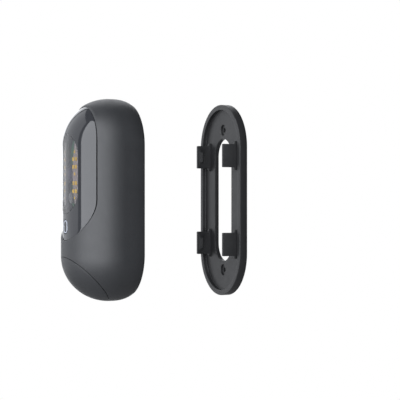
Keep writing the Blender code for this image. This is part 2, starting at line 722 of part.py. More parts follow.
def make_button():
    button = front_form("push_button", 0, PANEL_ROUND + BUTTON_PROUD, BUTTON, SATIN_GREY)
    shell = 1.5 * MM
    solidify(button, shell)
    boolean(button, "INTERSECT", front_prism("button_outline", button_outline()))
    stem_back = SWITCH_FRONT + BUTTON_TRAVEL + 0.2 * MM
    stem_front = BODY_STRAIGHT + PANEL_ROUND + BUTTON_PROUD - shell / 2
    stem = rod_mesh(
        "button_stem", at(0, stem_back, BUTTON_HEIGHT), at(0, stem_front, BUTTON_HEIGHT), STEM_RADIUS, 16)
    collar_front = BODY_STRAIGHT + FRAME_ROUND - FRAME_WALL - 0.5 * MM
    collar_back = collar_front - 0.8 * MM
    collar = rod_mesh(
        "button_collar", at(0, collar_back, BUTTON_HEIGHT), at(0, collar_front, BUTTON_HEIGHT),
        STEM_RADIUS + 2.1 * MM, 20)
    boolean(button, "UNION", put("button_stem", stem, BODY), put("button_collar", collar, BODY))


def make_light_ring():
    ring = front_form("button_light_ring", 0, PANEL_ROUND + BUTTON_PROUD, BODY, LIGHT_GUIDE)
    solidify(ring, 2.2 * MM)
    carve(ring, "INTERSECT", front_prism("ring_outer", button_outline(GAP + LIGHT_RING_WIDTH)))
    carve(ring, "DIFFERENCE", front_prism("ring_inner", button_outline(GAP), 2 * MM))


# ---------------------------------------------------------------- the camera and its sensors

def make_camera():
    place = forwards(0, WINDOW_HEIGHT)
    foot = CAMERA_BOARD_FRONT + GAP
    flange = foot + 1.7 * MM
    bore_back = foot + 1.3 * MM
    bore = 4 * MM
    barrel = [
        (BARREL_RADIUS, BARREL_FRONT), (BARREL_RADIUS, flange), (8.5 * MM, flange), (8.5 * MM, foot),
        (6.3 * MM, foot), (6.3 * MM, bore_back), (bore, bore_back), (bore, LENS_SEAT - GAP),
        (LENS_RADIUS + GAP, LENS_SEAT - GAP), (LENS_RADIUS + GAP, BARREL_FRONT)]
    turned("camera_barrel", barrel, BODY, BLACK_PLASTIC, place, closed=True)
    lens_rim = LENS_SEAT + MM
    lens_crown = 1.3 * MM
    lens = []
    for step in range(7):
        angle = math.radians(90 - 15 * step)
        lens.append((LENS_RADIUS * math.cos(angle), lens_rim + lens_crown * math.sin(angle)))
    lens[0] = (0, lens_rim + lens_crown)
    lens += [(LENS_RADIUS, LENS_SEAT), (0, LENS_SEAT)]
    turned("camera_lens", lens, BODY, LENS_GLASS, place)
    board_side = 20 * MM
    board = block_mesh(
        "camera_board", at(0, (CAMERA_BOARD_BACK + CAMERA_BOARD_FRONT) / 2, WINDOW_HEIGHT),
        (board_side, CAMERA_BOARD_FRONT - CAMERA_BOARD_BACK, board_side))
    put("camera_board", board, BODY, BOARD_GREEN)
    sensor_side = 8 * MM
    sensor_thickness = 0.8 * MM
    sensor = block_mesh(
        "image_sensor", at(0, foot + sensor_thickness / 2, WINDOW_HEIGHT),
        (sensor_side, sensor_thickness, sensor_side))
    put("image_sensor", sensor, BODY, SILICON)


def make_sensors():
    board = prism(
        "sensor_board", window_outline(-2.8 * MM), SENSOR_BOARD_BACK, SENSOR_BOARD_FRONT, BODY, BOARD_GREEN)
    hole = rod_mesh(
        "barrel_hole", at(0, FRONT_CUT_BACK, WINDOW_HEIGHT), at(0, CUT_FRONT, WINDOW_HEIGHT),
        BARREL_RADIUS + 0.4 * MM, 28)
    boolean(board, "DIFFERENCE", put("barrel_hole", hole, BODY))
    foot = SENSOR_BOARD_FRONT + GAP
    can_radius = 4.1 * MM
    can_top = foot + 4.1 * MM
    brim_radius = 4.6 * MM
    brim_top = foot + 0.5 * MM
    can = [(0, can_top), (can_radius, can_top), (can_radius, brim_top), (brim_radius, brim_top),
           (brim_radius, foot), (0, foot)]
    turned("pir_sensor", can, BODY, BARE_STEEL, forwards(0, WINDOW_HEIGHT - 16.5 * MM))
    light = block_mesh(
        "light_sensor", at(0, foot + 0.6 * MM, WINDOW_HEIGHT + 14 * MM), (3.6 * MM, 1.2 * MM, 3.6 * MM))
    put("light_sensor", light, BODY, LENS_GLASS)
    microphone = block_mesh(
        "microphone", at(0, foot + 0.6 * MM, WINDOW_HEIGHT + 20 * MM), (3.8 * MM, 1.2 * MM, 3 * MM))
    put("microphone", microphone, BODY, BARE_STEEL)


# ---------------------------------------------------------------- the electronics and the battery

def board_screw_places():
    """The height of each board screw, and how far forwards its post reaches into the frame."""
    return ((52 * MM, 38.8 * MM), (-28.5 * MM, 43.2 * MM))


def make_main_board():
    board_outline = pill(19.5 * MM, 45.35 * MM, PANEL_RISE - 25.85 * MM)
    board = prism("main_board", board_outline, BOARD_BACK, BOARD_FRONT, BODY, BOARD_GREEN)
    tip = BOARD_FRONT + 4.3 * MM
    head_front = BOARD_BACK - GAP
    head_back = head_front - 1.3 * MM
    shank_radius = BOARD_HOLE_RADIUS - GAP
    head_radius = 1.9 * MM
    profile = [
        (0, tip), (shank_radius, tip - 0.8 * MM), (shank_radius, head_front), (head_radius, head_front),
        (head_radius, head_back), (0, head_back)]
    for name, (height, _) in zip(("upper", "lower"), board_screw_places()):
        hole = rod_mesh(
            "board_hole", at(0, BOARD_BACK - MM, height), at(0, BOARD_FRONT + MM, height),
            BOARD_HOLE_RADIUS, 12)
        boolean(board, "DIFFERENCE", put("board_hole", hole, BODY))
        turned("board_screw_" + name, profile, BODY, BARE_STEEL, forwards(0, height), steps=16)
    shield_back = BOARD_FRONT + GAP
    shield_thickness = 2.2 * MM
    shield = block_mesh(
        "wifi_shield", at(0, shield_back + shield_thickness / 2, -5 * MM),
        (14 * MM, shield_thickness, 12 * MM))
    bevel(put("wifi_shield", shield, BODY, BARE_STEEL), 0.5 * MM)


def make_button_switch():
    side = 6 * MM
    thickness = 3 * MM
    middle = BOARD_FRONT + GAP + thickness / 2
    base = block_mesh("button_switch", at(0, middle, BUTTON_HEIGHT), (side, thickness, side))
    switch = put("button_switch", base, BODY, BLACK_PLASTIC)
    knob = rod_mesh(
        "switch_knob", at(0, middle, BUTTON_HEIGHT), at(0, SWITCH_FRONT, BUTTON_HEIGHT), 1.6 * MM, 16)
    boolean(switch, "UNION", put("switch_knob", knob, BODY))


def make_wifi_antenna():
    radius = 25.5 * MM
    thickness = 0.6 * MM
    inner = arc(radius, radius, BODY_RISE, 140, 40, 12)
    outer = arc(radius + thickness, radius + thickness, BODY_RISE, 40, 140, 12)
    prism("wifi_antenna", outer + inner, ANTENNA_BACK, ANTENNA_FRONT, BODY, FLEX_GREY)


def make_battery():
    button_radius = 2.8 * MM
    button_top = CELL_TOP + 0.8 * MM
    bend = 0.6 * MM
    profile = [
        (0, button_top), (button_radius, button_top), (button_radius, CELL_TOP),
        (CELL_RADIUS - bend, CELL_TOP), (CELL_RADIUS, CELL_TOP - bend),
        (CELL_RADIUS, CELL_BOTTOM + bend), (CELL_RADIUS - bend, CELL_BOTTOM), (0, CELL_BOTTOM)]
    tray_height = CELL_TOP - CELL_BOTTOM + 5.2 * MM
    tray_mesh = block_mesh(
        "battery_tray", at(0, (TRAY_BACK + TRAY_FRONT) / 2, (CELL_TOP + CELL_BOTTOM) / 2),
        (2 * (CELL_OFFSET + CELL_RADIUS) + 2.2 * MM, TRAY_FRONT - TRAY_BACK, tray_height))
    tray = put("battery_tray", tray_mesh, BODY, BLACK_PLASTIC)
    for name, side in (("left", -1), ("right", 1)):
        x = side * CELL_OFFSET
        place = Matrix.Translation(at(x, CELL_DEPTH, 0))
        turned("battery_cell_" + name, profile, BODY, CELL_WRAP, place, steps=32)
        groove = rod_mesh(
            "cell_groove", at(x, CELL_DEPTH, CELL_BOTTOM - 0.5 * MM),
            at(x, CELL_DEPTH, button_top + 0.5 * MM), CELL_RADIUS + GAP, 32)
        boolean(tray, "DIFFERENCE", put("cell_groove", groove, BODY))


def speaker_centre():
    """The middle of the bulkhead's inner face, under the speaker."""
    return CAP_CENTRE - DOWN_AND_OUT * (BULKHEAD_INSET + BULKHEAD_THICKNESS) + UP_AND_OUT * 4 * MM


def socket_centre():
    return CAP_CENTRE - DOWN_AND_OUT * 7.4 * MM - UP_AND_OUT * 11 * MM


def make_speaker():
    turn = Vector((0, 0, 1)).rotation_difference(-DOWN_AND_OUT).to_matrix().to_4x4()
    place = Matrix.Translation(speaker_centre()) @ turn
    radius = 11 * MM
    ring_top = 1.3 * MM
    ring_bore = 8.6 * MM
    ring = [(radius, ring_top), (radius, GAP), (ring_bore, GAP), (ring_bore, ring_top)]
    turned("speaker_gasket", ring, BODY, BLACK_RUBBER, place, closed=True)
    foot = ring_top + GAP
    magnet_radius = 6 * MM
    magnet_top = 6.6 * MM
    basket_top = 4.6 * MM
    rim_top = 3 * MM
    bend = 0.6 * MM
    can = [(0, magnet_top), (magnet_radius, magnet_top), (magnet_radius, basket_top),
           (radius - bend, rim_top + bend), (radius, rim_top), (radius, foot), (0, foot)]
    turned("speaker", can, BODY, BLACK_PLASTIC, place)


def make_charging_socket():
    size = (SOCKET_WIDTH, SOCKET_LENGTH, SOCKET_HEIGHT)
    mesh = block_mesh("charging_socket", socket_centre(), size, seam_turn())
    socket = put("charging_socket", mesh, BODY, BARE_STEEL)
    bevel(socket, 1.2 * MM, 3)
    shell = 0.5 * MM
    mouth = block_mesh(
        "socket_mouth", socket_centre() + DOWN_AND_OUT * 1.4 * MM,
        (SOCKET_WIDTH - 2 * shell, SOCKET_LENGTH, SOCKET_HEIGHT - 2 * shell), seam_turn())
    boolean(socket, "DIFFERENCE", put("socket_mouth", mouth, BODY))


make_wall_bracket()
make_housing()
make_rear_cover()
make_cover_screws()
make_rear_gasket()
make_bottom_cap()
make_front_frame()
make_front_panel()
make_window_cover()
make_window_gasket()
make_emitter_strips()
make_button()
make_light_ring()
make_camera()
make_sensors()
make_main_board()
make_button_switch()
make_wifi_antenna()
make_battery()
make_speaker()
make_charging_socket()
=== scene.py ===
"""The looks of a battery video doorbell and its wall bracket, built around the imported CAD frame.

Metres, +Z up. The wall is the plane y = 0 and the front faces -Y. The body hangs off its bracket, and
a depth on the body is measured forwards from its back plane. The visible shells are built again here,
finely and with rounded edges, in the space of the CAD solids that they replace.
"""

import json
import math

import bmesh
import bpy
from mathutils import Matrix, Vector


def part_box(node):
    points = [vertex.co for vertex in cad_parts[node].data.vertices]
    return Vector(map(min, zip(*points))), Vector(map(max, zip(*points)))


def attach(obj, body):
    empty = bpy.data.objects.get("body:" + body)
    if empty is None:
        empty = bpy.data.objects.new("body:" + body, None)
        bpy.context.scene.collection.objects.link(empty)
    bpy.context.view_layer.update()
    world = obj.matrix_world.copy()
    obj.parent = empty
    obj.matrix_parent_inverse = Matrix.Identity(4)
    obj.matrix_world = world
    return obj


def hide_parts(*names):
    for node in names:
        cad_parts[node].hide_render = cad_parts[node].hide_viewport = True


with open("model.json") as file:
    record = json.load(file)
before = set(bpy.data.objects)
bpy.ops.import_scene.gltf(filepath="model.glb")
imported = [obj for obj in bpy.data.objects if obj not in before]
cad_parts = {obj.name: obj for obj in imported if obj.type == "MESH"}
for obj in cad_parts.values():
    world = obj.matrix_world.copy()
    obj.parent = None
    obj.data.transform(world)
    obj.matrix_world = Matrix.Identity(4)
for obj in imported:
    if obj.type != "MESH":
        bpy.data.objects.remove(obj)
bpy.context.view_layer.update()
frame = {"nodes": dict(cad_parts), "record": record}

MM = 0.001
GAP = 0.3 * MM  # the clearance that the CAD solids keep

# The body's form, read from the housing, the panel and the bracket
HOUSING_LOW, HOUSING_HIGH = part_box("housing")
BACK_Y = HOUSING_HIGH.y
HALF_WIDTH = HOUSING_HIGH.x
HALF_HEIGHT = HOUSING_HIGH.z
RISE = HALF_HEIGHT - HALF_WIDTH
STRAIGHT = 14.7 * MM
ROUND = BACK_Y - HOUSING_LOW.y - STRAIGHT
BACK_TAPER_WIDTH = 0.03
BACK_TAPER_HEIGHT = 0.05
BACK_TAPER_CURVE = 3
WALL = 2.2 * MM
BACK_EDGE = 0.45 * MM
LIP_EDGE = 1.1 * MM
SIDE_LIP_SHARE = 0.35  # how much of the lip is left along the panel's straight sides

PANEL_LOW, PANEL_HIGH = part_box("front_panel")
PANEL_HALF_WIDTH = PANEL_HIGH.x
PANEL_DROP = -PANEL_LOW.z
PANEL_ROUND = BACK_Y - PANEL_LOW.y - STRAIGHT
PANEL_RISE = RISE - 0.6 * MM
PANEL_THICKNESS = 2 * MM
PANEL_SEAM = 0.45 * MM
PANEL_EDGE = 0.1 * MM

WINDOW_LOW, WINDOW_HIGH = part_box("window_cover")
WINDOW_HALF_WIDTH = WINDOW_HIGH.x - 0.6 * MM  # the clear part is a little narrower than the solid
WINDOW_HEIGHT = (WINDOW_HIGH.z + WINDOW_LOW.z) / 2
WINDOW_RISE = (WINDOW_HIGH.z - WINDOW_LOW.z) / 2 - WINDOW_HALF_WIDTH
WINDOW_ROUND = BACK_Y - WINDOW_LOW.y - STRAIGHT
WINDOW_PROUD = WINDOW_ROUND - PANEL_ROUND
WINDOW_THICKNESS = 1.4 * MM
WINDOW_EDGE = 0.25 * MM
WINDOW_GAP = 0.04 * MM
STRIP_ROUND = 30.5 * MM
STRIP_INSET = 1.7 * MM

RING_LOW, RING_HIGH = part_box("button_light_ring")
BUTTON_HEIGHT = (RING_HIGH.z + RING_LOW.z) / 2
BUTTON_RISE = (RING_HIGH.z - RING_LOW.z) / 2 - RING_HIGH.x
RING_WIDTH = 0.7 * MM
RING_THICKNESS = 2.2 * MM
RING_EDGE = 0.15 * MM
BUTTON_HALF_WIDTH = RING_HIGH.x - RING_WIDTH - GAP
BUTTON_ROUND = PANEL_ROUND + 0.1 * MM
BUTTON_THICKNESS = 1.5 * MM
BUTTON_EDGE = 0.3 * MM
BUTTON_DISH = 0.15 * MM

# The cap's seam is a plane at 45 degrees, where the height is the depth less this drop
SEAM_DROP = 87.9 * MM
SEAM_GAP = 0.25 * MM
SEAM_DEPTH = 30.2 * MM
SEAM_EDGE = 0.15 * MM
CAP_WALL = 3.2 * MM
TONGUE_PLAY = 0.4 * MM
TONGUE_WALL = 1.3 * MM
TONGUE_LENGTH = 3.2 * MM
TONGUE_REACH = 2 * MM
SOUND_SLOT_DEPTH = 25.2 * MM
SOUND_SLOT_PITCH = 2.8 * MM
SOUND_SLOT_HALF_LENGTH = 4.5 * MM
SOUND_SLOT_HALF_WIDTH = 0.65 * MM
SOUND_HOLE_PITCH = 4.6 * MM
SOUND_HOLE_RADIUS = 1.3 * MM
SOUND_HOLE_REACH = 12 * MM
BULKHEAD_INSET = 4 * MM
BULKHEAD_THICKNESS = 2 * MM
PORT_SIZE = (9.6 * MM, 14 * MM, 3.9 * MM)
PORT_CORNER = 1.5 * MM
DOWN_AND_OUT = Vector((0, -1, -1)).normalized()
UP_AND_OUT = Vector((0, -1, 1)).normalized()
SEAM_POINT = Vector((0, BACK_Y - SEAM_DEPTH, SEAM_DEPTH - SEAM_DROP))

# The bracket
BRACKET_LOW, BRACKET_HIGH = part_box("wall_bracket")
BRACKET_HALF_WIDTH = BRACKET_HIGH.x
BRACKET_RISE = BRACKET_HIGH.z - BRACKET_HALF_WIDTH
BRACKET_DEPTH = 6 * MM
BRACKET_RIM = 3.8 * MM
BRACKET_BASE = 3.2 * MM
SLOT_HALF_WIDTH = 13.1 * MM
SLOT_RISE = 31.9 * MM
WALL_HOLE_HEIGHT = 51.4 * MM
CLIP_TIP = -BRACKET_LOW.y
CLIP_OFFSET = 20.85 * MM
CLIP_HEIGHT = 32 * MM
CLIP_HALF_LENGTH = 8.4 * MM
CLIP_ROOT_HALF_LENGTH = 10.4 * MM
CLIP_SHOULDER = 0.8 * MM
CLIP_NECK = 1.9 * MM
CLIP_THICKNESS = 2 * MM
BARB_HALF_LENGTH = 3.7 * MM
BARB_REACH = 1.1 * MM
BARB_END = 4 * MM
CLIP_RECESS_WIDTH = 1.8 * MM
WALL_HOLE_RADIUS = 1.8 * MM
WALL_HOLE_SINK = 1.3 * MM
WALL_HOLE_SINK_RADIUS = 3.9 * MM

# The rear cover
COVER_BACK = 0.2 * MM
COVER_FRONT = 2.7 * MM
COVER_EDGE = 0.35 * MM
POCKET_DEPTH = 8.6 * MM
POCKET_PLAY = 0.8 * MM
CUP_WALL = 1.2 * MM
SCREW_SINK = 1.9 * MM
SCREW_SINK_RADIUS = 2.6 * MM
SCREW_HEAD_RADIUS = 2.2 * MM
SCREW_HEAD_HEIGHT = 1.2 * MM
SCREW_SHANK_RADIUS = 1.05 * MM
SCREW_END = 12 * MM
COVER_SCREWS = [
    "cover_screw_upper_left",
    "cover_screw_upper_right",
    "cover_screw_lower_left",
    "cover_screw_lower_right",
]

# The gold pads on an emitter strip: height above the strip's middle, how many side by side, and scale
PAD_ROWS = (
    (15 * MM, 1, 0.7), (10.1 * MM, 2, 1.0), (4.6 * MM, 2, 1.0), (-0.3 * MM, 1, 0.75), (-6.6 * MM, 2, 1.0),
    (-12.1 * MM, 2, 1.0), (-16.8 * MM, 1, 0.6))
PAD_SHIFT = -0.5 * MM
PAD_PITCH = 2.7 * MM
PAD_WIDTH = 2.1 * MM
PAD_LENGTH = 2.6 * MM
PAD_HEIGHT = 0.2 * MM

# How finely the rings are divided
ARC_STEPS = 48
SIDE_STEPS = 16
LIP_STEPS = 4


# ---------------------------------------------------------------- points and rings

def at(x, depth, height):
    """The point of the body at a sideways place, a depth measured forwards and a height."""
    return Vector((x, BACK_Y - depth, height))


def on_wall(x, depth, height):
    """The same for the bracket, whose depths are measured from the wall."""
    return Vector((x, -depth, height))


def ring(half_width, top, bottom, drop=None):
    """An upright outline: half a circle about the top, straight sides, half an ellipse at the bottom."""
    drop = half_width if drop is None else drop
    points = []
    for step in range(ARC_STEPS):
        angle = math.pi * step / ARC_STEPS
        points.append((half_width * math.cos(angle), top + half_width * math.sin(angle)))
    for step in range(SIDE_STEPS):
        points.append((-half_width, top + (bottom - top) * step / SIDE_STEPS))
    for step in range(ARC_STEPS):
        angle = math.pi * (1 + step / ARC_STEPS)
        points.append((half_width * math.cos(angle), bottom + drop * math.sin(angle)))
    for step in range(SIDE_STEPS):
        points.append((half_width, bottom + (top - bottom) * step / SIDE_STEPS))
    return points


def body_ring(inset=0.0):
    return ring(HALF_WIDTH - inset, RISE, -RISE)


def panel_ring(grow=0.0):
    return ring(PANEL_HALF_WIDTH + grow, RISE, 0, PANEL_DROP + grow)


def panel_shell_ring(grow=0.0):
    """The panel's own outline, a little narrower than its solid, so that the seam shows as a line."""
    return ring(PANEL_HALF_WIDTH - PANEL_SEAM + grow, RISE, 0, PANEL_DROP + grow)


def window_ring(grow=0.0, share=1.0):
    half_width = (WINDOW_HALF_WIDTH + grow) * share
    return ring(half_width, WINDOW_HEIGHT + WINDOW_RISE, WINDOW_HEIGHT - WINDOW_RISE)


def button_ring(grow=0.0, share=1.0):
    half_width = (BUTTON_HALF_WIDTH + grow) * share
    return ring(half_width, BUTTON_HEIGHT + BUTTON_RISE, BUTTON_HEIGHT - BUTTON_RISE)


def between(near, far, share):
    """The outline a share of the way from one outline to another."""
    mixed = []
    for (near_x, near_z), (far_x, far_z) in zip(near, far):
        mixed.append((near_x + (far_x - near_x) * share, near_z + (far_z - near_z) * share))
    return mixed


def dome_normal(x, forward, over, half_width, round_depth):
    """The outward direction of a dome, at a distance past its straight middle."""
    return Vector((x / half_width ** 2, -forward / round_depth ** 2, over / half_width ** 2)).normalized()


def dome_point(x, z, half_width, round_depth, sink, rise=RISE):
    """The point of a dome over a place seen from the front, sunk along the surface's normal."""
    over = math.copysign(max(0.0, abs(z) - rise), z)
    share = min(1.0, (x * x + over * over) / half_width ** 2)
    forward = round_depth * math.sqrt(1 - share)
    normal = dome_normal(x, forward, over, half_width, round_depth)
    return at(x, STRAIGHT + forward, z) - normal * sink


def on_dome(points, sink=0.0, half_width=HALF_WIDTH, round_depth=ROUND, rise=RISE):
    return [dome_point(x, z, half_width, round_depth, sink, rise) for x, z in points]


def lip(radius, steps=LIP_STEPS):
    """A rounded edge, from its side to its face, as (how far in from the side, how far below the face)."""
    for step in range(steps + 1):
        angle = math.radians(90) * step / steps
        yield radius * (1 - math.cos(angle)), radius * (1 - math.sin(angle))


# ---------------------------------------------------------------- meshes and objects

def loft(bm, rings, closed):
    """Faces between each ring and the next, and from the last to the first when it is closed."""
    loops = [[bm.verts.new(point) for point in points] for points in rings]
    followers = loops[1:] + loops[:1] if closed else loops[1:]
    for near, far in zip(loops, followers):
        for place in range(len(near)):
            after = (place + 1) % len(near)
            bm.faces.new((near[place], near[after], far[after], far[place]))


def weld(bm):
    """Merge the points of collapsed rings, drop the faces that they leave flat and face outwards."""
    bmesh.ops.remove_doubles(bm, verts=bm.verts, dist=0.000002)
    bmesh.ops.dissolve_degenerate(bm, edges=bm.edges, dist=0.000001)
    bmesh.ops.recalc_face_normals(bm, faces=bm.faces)
    if bm.calc_volume(signed=True) < 0:
        bmesh.ops.reverse_faces(bm, faces=bm.faces)


def new_object(name, bm):
    mesh = bpy.data.meshes.new(name)
    bm.to_mesh(mesh)
    bm.free()
    obj = bpy.data.objects.new(name, mesh)
    bpy.context.scene.collection.objects.link(obj)
    return obj


def smooth(obj, angle=40):
    obj.data.shade_smooth()
    obj.data.set_sharp_from_angle(angle=math.radians(angle))


def apply_modifiers(obj):
    graph = bpy.context.evaluated_depsgraph_get()
    mesh = bpy.data.meshes.new_from_object(obj.evaluated_get(graph))
    obj.modifiers.clear()
    obj.data = mesh


def cut(obj, operation, tools, solver="EXACT"):
    """Boolean an object with helper objects, which are then removed."""
    for tool in tools:
        modifier = obj.modifiers.new(tool.name, "BOOLEAN")
        modifier.operation = operation
        modifier.solver = solver
        modifier.object = tool
    apply_modifiers(obj)
    for tool in tools:
        bpy.data.objects.remove(tool)


def round_edges(obj, width, segments=2, angle=40):
    modifier = obj.modifiers.new("rounded_edges", "BEVEL")
    modifier.width = width
    modifier.segments = segments
    modifier.limit_method = "ANGLE"
    modifier.angle_limit = math.radians(angle)
    apply_modifiers(obj)


def box_tool(name, centre, size, turn=None):
    bm = bmesh.new()
    shape = Matrix.Diagonal((*size, 1))
    if turn is not None:
        shape = turn @ shape
    bmesh.ops.create_cube(bm, size=1, matrix=Matrix.Translation(centre) @ shape)
    return new_object(name, bm)


def rod_tool(name, start, end, radius, end_radius=None, steps=32):
    axis = end - start
    turn = Vector((0, 0, 1)).rotation_difference(axis).to_matrix().to_4x4()
    bm = bmesh.new()
    bmesh.ops.create_cone(
        bm, cap_ends=True, segments=steps, radius1=radius,
        radius2=radius if end_radius is None else end_radius, depth=axis.length,
        matrix=Matrix.Translation((start + end) / 2) @ turn)
    return new_object(name, bm)


def turned(name, profile, place, steps=48):
    """A closed solid of revolution from (radius, height) points, about its own Z axis."""
    rings = []
    for radius, height in profile:
        points = []
        for step in range(steps):
            angle = math.tau * step / steps
            points.append(place @ Vector((radius * math.cos(angle), radius * math.sin(angle), height)))
        rings.append(points)
    bm = bmesh.new()
    loft(bm, rings, closed=False)
    weld(bm)
    return new_object(name, bm)


def finish_piece(obj, body, material, slot, *nodes, angle=40):
    """Shade a piece, give it its material, seat it on its body and hide what it replaces."""
    smooth(obj, angle)
    obj.data.materials.clear()
    obj.data.materials.append(material)
    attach(obj, body)
    if nodes:
        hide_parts(*nodes)


# ---------------------------------------------------------------- materials

def new_material(name, colour, roughness, metallic=0.0, ior=1.5, alpha=1.0):
    material = bpy.data.materials.new(name)
    material.use_nodes = True
    shader = material.node_tree.nodes["Principled BSDF"]
    shader.inputs["Base Color"].default_value = (*colour, 1.0)
    shader.inputs["Roughness"].default_value = roughness
    shader.inputs["Metallic"].default_value = metallic
    shader.inputs["IOR"].default_value = ior
    shader.inputs["Alpha"].default_value = alpha
    material.diffuse_color = (*colour, 1.0)
    return material, material.node_tree, shader


def noise_field(tree, scale, detail=3.0, stretch=(1, 1, 1)):
    """A noise pattern in the object's own metres."""
    place = tree.nodes.new("ShaderNodeTexCoord")
    mapping = tree.nodes.new("ShaderNodeMapping")
    mapping.inputs["Scale"].default_value = stretch
    noise = tree.nodes.new("ShaderNodeTexNoise")
    noise.inputs["Scale"].default_value = scale
    noise.inputs["Detail"].default_value = detail
    noise.inputs["Roughness"].default_value = 0.55
    tree.links.new(place.outputs["Object"], mapping.inputs["Vector"])
    tree.links.new(mapping.outputs["Vector"], noise.inputs["Vector"])
    return noise.outputs["Fac"]


def spread(tree, field, low, high):
    """Bring the middle of a noise field to a range of values."""
    node = tree.nodes.new("ShaderNodeMapRange")
    node.inputs["From Min"].default_value = 0.3
    node.inputs["From Max"].default_value = 0.7
    node.inputs["To Min"].default_value = low
    node.inputs["To Max"].default_value = high
    tree.links.new(field, node.inputs["Value"])
    return node.outputs["Result"]


def tint_between(tree, shader, field, first, second):
    """Let the colour wander between two tones."""
    ramp = tree.nodes.new("ShaderNodeValToRGB")
    ramp.color_ramp.elements[0].position = 0.35
    ramp.color_ramp.elements[0].color = (*first, 1)
    ramp.color_ramp.elements[1].position = 0.65
    ramp.color_ramp.elements[1].color = (*second, 1)
    tree.links.new(field, ramp.inputs["Fac"])
    tree.links.new(ramp.outputs["Color"], shader.inputs["Base Color"])


def add_bump(tree, shader, field, height, strength=0.3):
    bump = tree.nodes.new("ShaderNodeBump")
    bump.inputs["Strength"].default_value = strength
    bump.inputs["Distance"].default_value = height
    tree.links.new(field, bump.inputs["Height"])
    tree.links.new(bump.outputs["Normal"], shader.inputs["Normal"])


def moulded(name, colour, roughness, grain, height, wander=0.06):
    """Moulded plastic: a fine grain, with a slow drift in tone and in gloss."""
    material, tree, shader = new_material(name, colour, roughness)
    slow = noise_field(tree, 45, detail=2)
    darker = tuple(channel * (1 - wander) for channel in colour)
    lighter = tuple(channel * (1 + wander) for channel in colour)
    tint_between(tree, shader, slow, darker, lighter)
    gloss = noise_field(tree, 160, detail=4)
    tree.links.new(spread(tree, gloss, roughness - 0.03, roughness + 0.03), shader.inputs["Roughness"])
    add_bump(tree, shader, noise_field(tree, grain, detail=2), height)
    return material


def metal(name, colour, roughness, metallic=1.0):
    """Metal with an uneven gloss, or a plain coloured finish when it isn't metallic."""
    material, tree, shader = new_material(name, colour, roughness, metallic=metallic)
    field = noise_field(tree, 900, detail=4)
    tree.links.new(spread(tree, field, roughness - 0.08, roughness + 0.1), shader.inputs["Roughness"])
    darker = tuple(channel * 0.86 for channel in colour)
    tint_between(tree, shader, noise_field(tree, 220, detail=3), darker, colour)
    add_bump(tree, shader, field, 0.01 * MM, 0.2)
    return material


def make_gloss_panel():
    material, tree, shader = new_material("gloss_panel", (0.022, 0.023, 0.026), 0.07)
    tint_between(tree, shader, noise_field(tree, 35, detail=2), (0.02, 0.021, 0.024), (0.025, 0.026, 0.029))
    haze = noise_field(tree, 420, detail=6)
    tree.links.new(spread(tree, haze, 0.05, 0.09), shader.inputs["Roughness"])
    return material


def make_window_tint():
    """Dark glass, see-through by its alpha, with a clear coat that mirrors the studio."""
    material, tree, shader = new_material("window_tint", (0.02, 0.021, 0.026), 0.05, ior=1.6, alpha=0.45)
    shader.inputs["Coat Weight"].default_value = 1.0
    shader.inputs["Coat Roughness"].default_value = 0.04
    haze = noise_field(tree, 300, detail=5)
    tree.links.new(spread(tree, haze, 0.04, 0.08), shader.inputs["Roughness"])
    slow = noise_field(tree, 60, detail=2)
    tint_between(tree, shader, slow, (0.018, 0.018, 0.028), (0.022, 0.024, 0.024))
    return material


def make_light_guide():
    material, tree, shader = new_material("light_guide", (0.32, 0.34, 0.39), 0.28)
    tint_between(tree, shader, noise_field(tree, 500, detail=3), (0.3, 0.32, 0.37), (0.34, 0.36, 0.41))
    tree.links.new(spread(tree, noise_field(tree, 900), 0.24, 0.34), shader.inputs["Roughness"])
    return material


def make_circuit_board():
    """Green solder mask with a fine square pattern, like tracks under it."""
    material, tree, shader = new_material("circuit_board", (0.012, 0.085, 0.04), 0.35)
    place = tree.nodes.new("ShaderNodeTexCoord")
    cells = tree.nodes.new("ShaderNodeTexVoronoi")
    cells.distance = "CHEBYCHEV"
    cells.feature = "F1"
    cells.inputs["Scale"].default_value = 420
    tree.links.new(place.outputs["Object"], cells.inputs["Vector"])
    tint_between(tree, shader, cells.outputs["Distance"], (0.02, 0.14, 0.065), (0.01, 0.07, 0.033))
    add_bump(tree, shader, cells.outputs["Distance"], 0.03 * MM)
    return material


def make_lens_glass():
    material, tree, shader = new_material("lens_glass", (0.01, 0.008, 0.02), 0.03, ior=1.7)
    shader.inputs["Coat Weight"].default_value = 1.0
    shader.inputs["Coat Roughness"].default_value = 0.02
    shader.inputs["Coat Tint"].default_value = (0.75, 0.7, 1.0, 1.0)
    tint_between(tree, shader, noise_field(tree, 200), (0.008, 0.006, 0.018), (0.014, 0.01, 0.03))
    return material


def make_cell_wrap():
    material, tree, shader = new_material("cell_wrap", (0.05, 0.16, 0.36), 0.3)
    tint_between(tree, shader, noise_field(tree, 90, detail=2), (0.045, 0.15, 0.34), (0.055, 0.17, 0.38))
    add_bump(tree, shader, noise_field(tree, 350, detail=3, stretch=(1, 1, 0.2)), 0.04 * MM)
    return material


def make_floor_finish():
    """Pale to the eye, and dimmer as a reflector, like the world behind it."""
    material, tree, shader = new_material("pale_floor", (0.3, 0.3, 0.3), 0.7)
    tint_between(tree, shader, noise_field(tree, 3, detail=4), (0.29, 0.29, 0.29), (0.31, 0.31, 0.31))
    path = tree.nodes.new("ShaderNodeLightPath")
    glow = tree.nodes.new("ShaderNodeMapRange")
    glow.inputs["To Min"].default_value = 0.0
    glow.inputs["To Max"].default_value = 0.6
    shader.inputs["Emission Color"].default_value = (1, 1, 1, 1)
    tree.links.new(path.outputs["Is Camera Ray"], glow.inputs["Value"])
    tree.links.new(glow.outputs["Result"], shader.inputs["Emission Strength"])
    return material


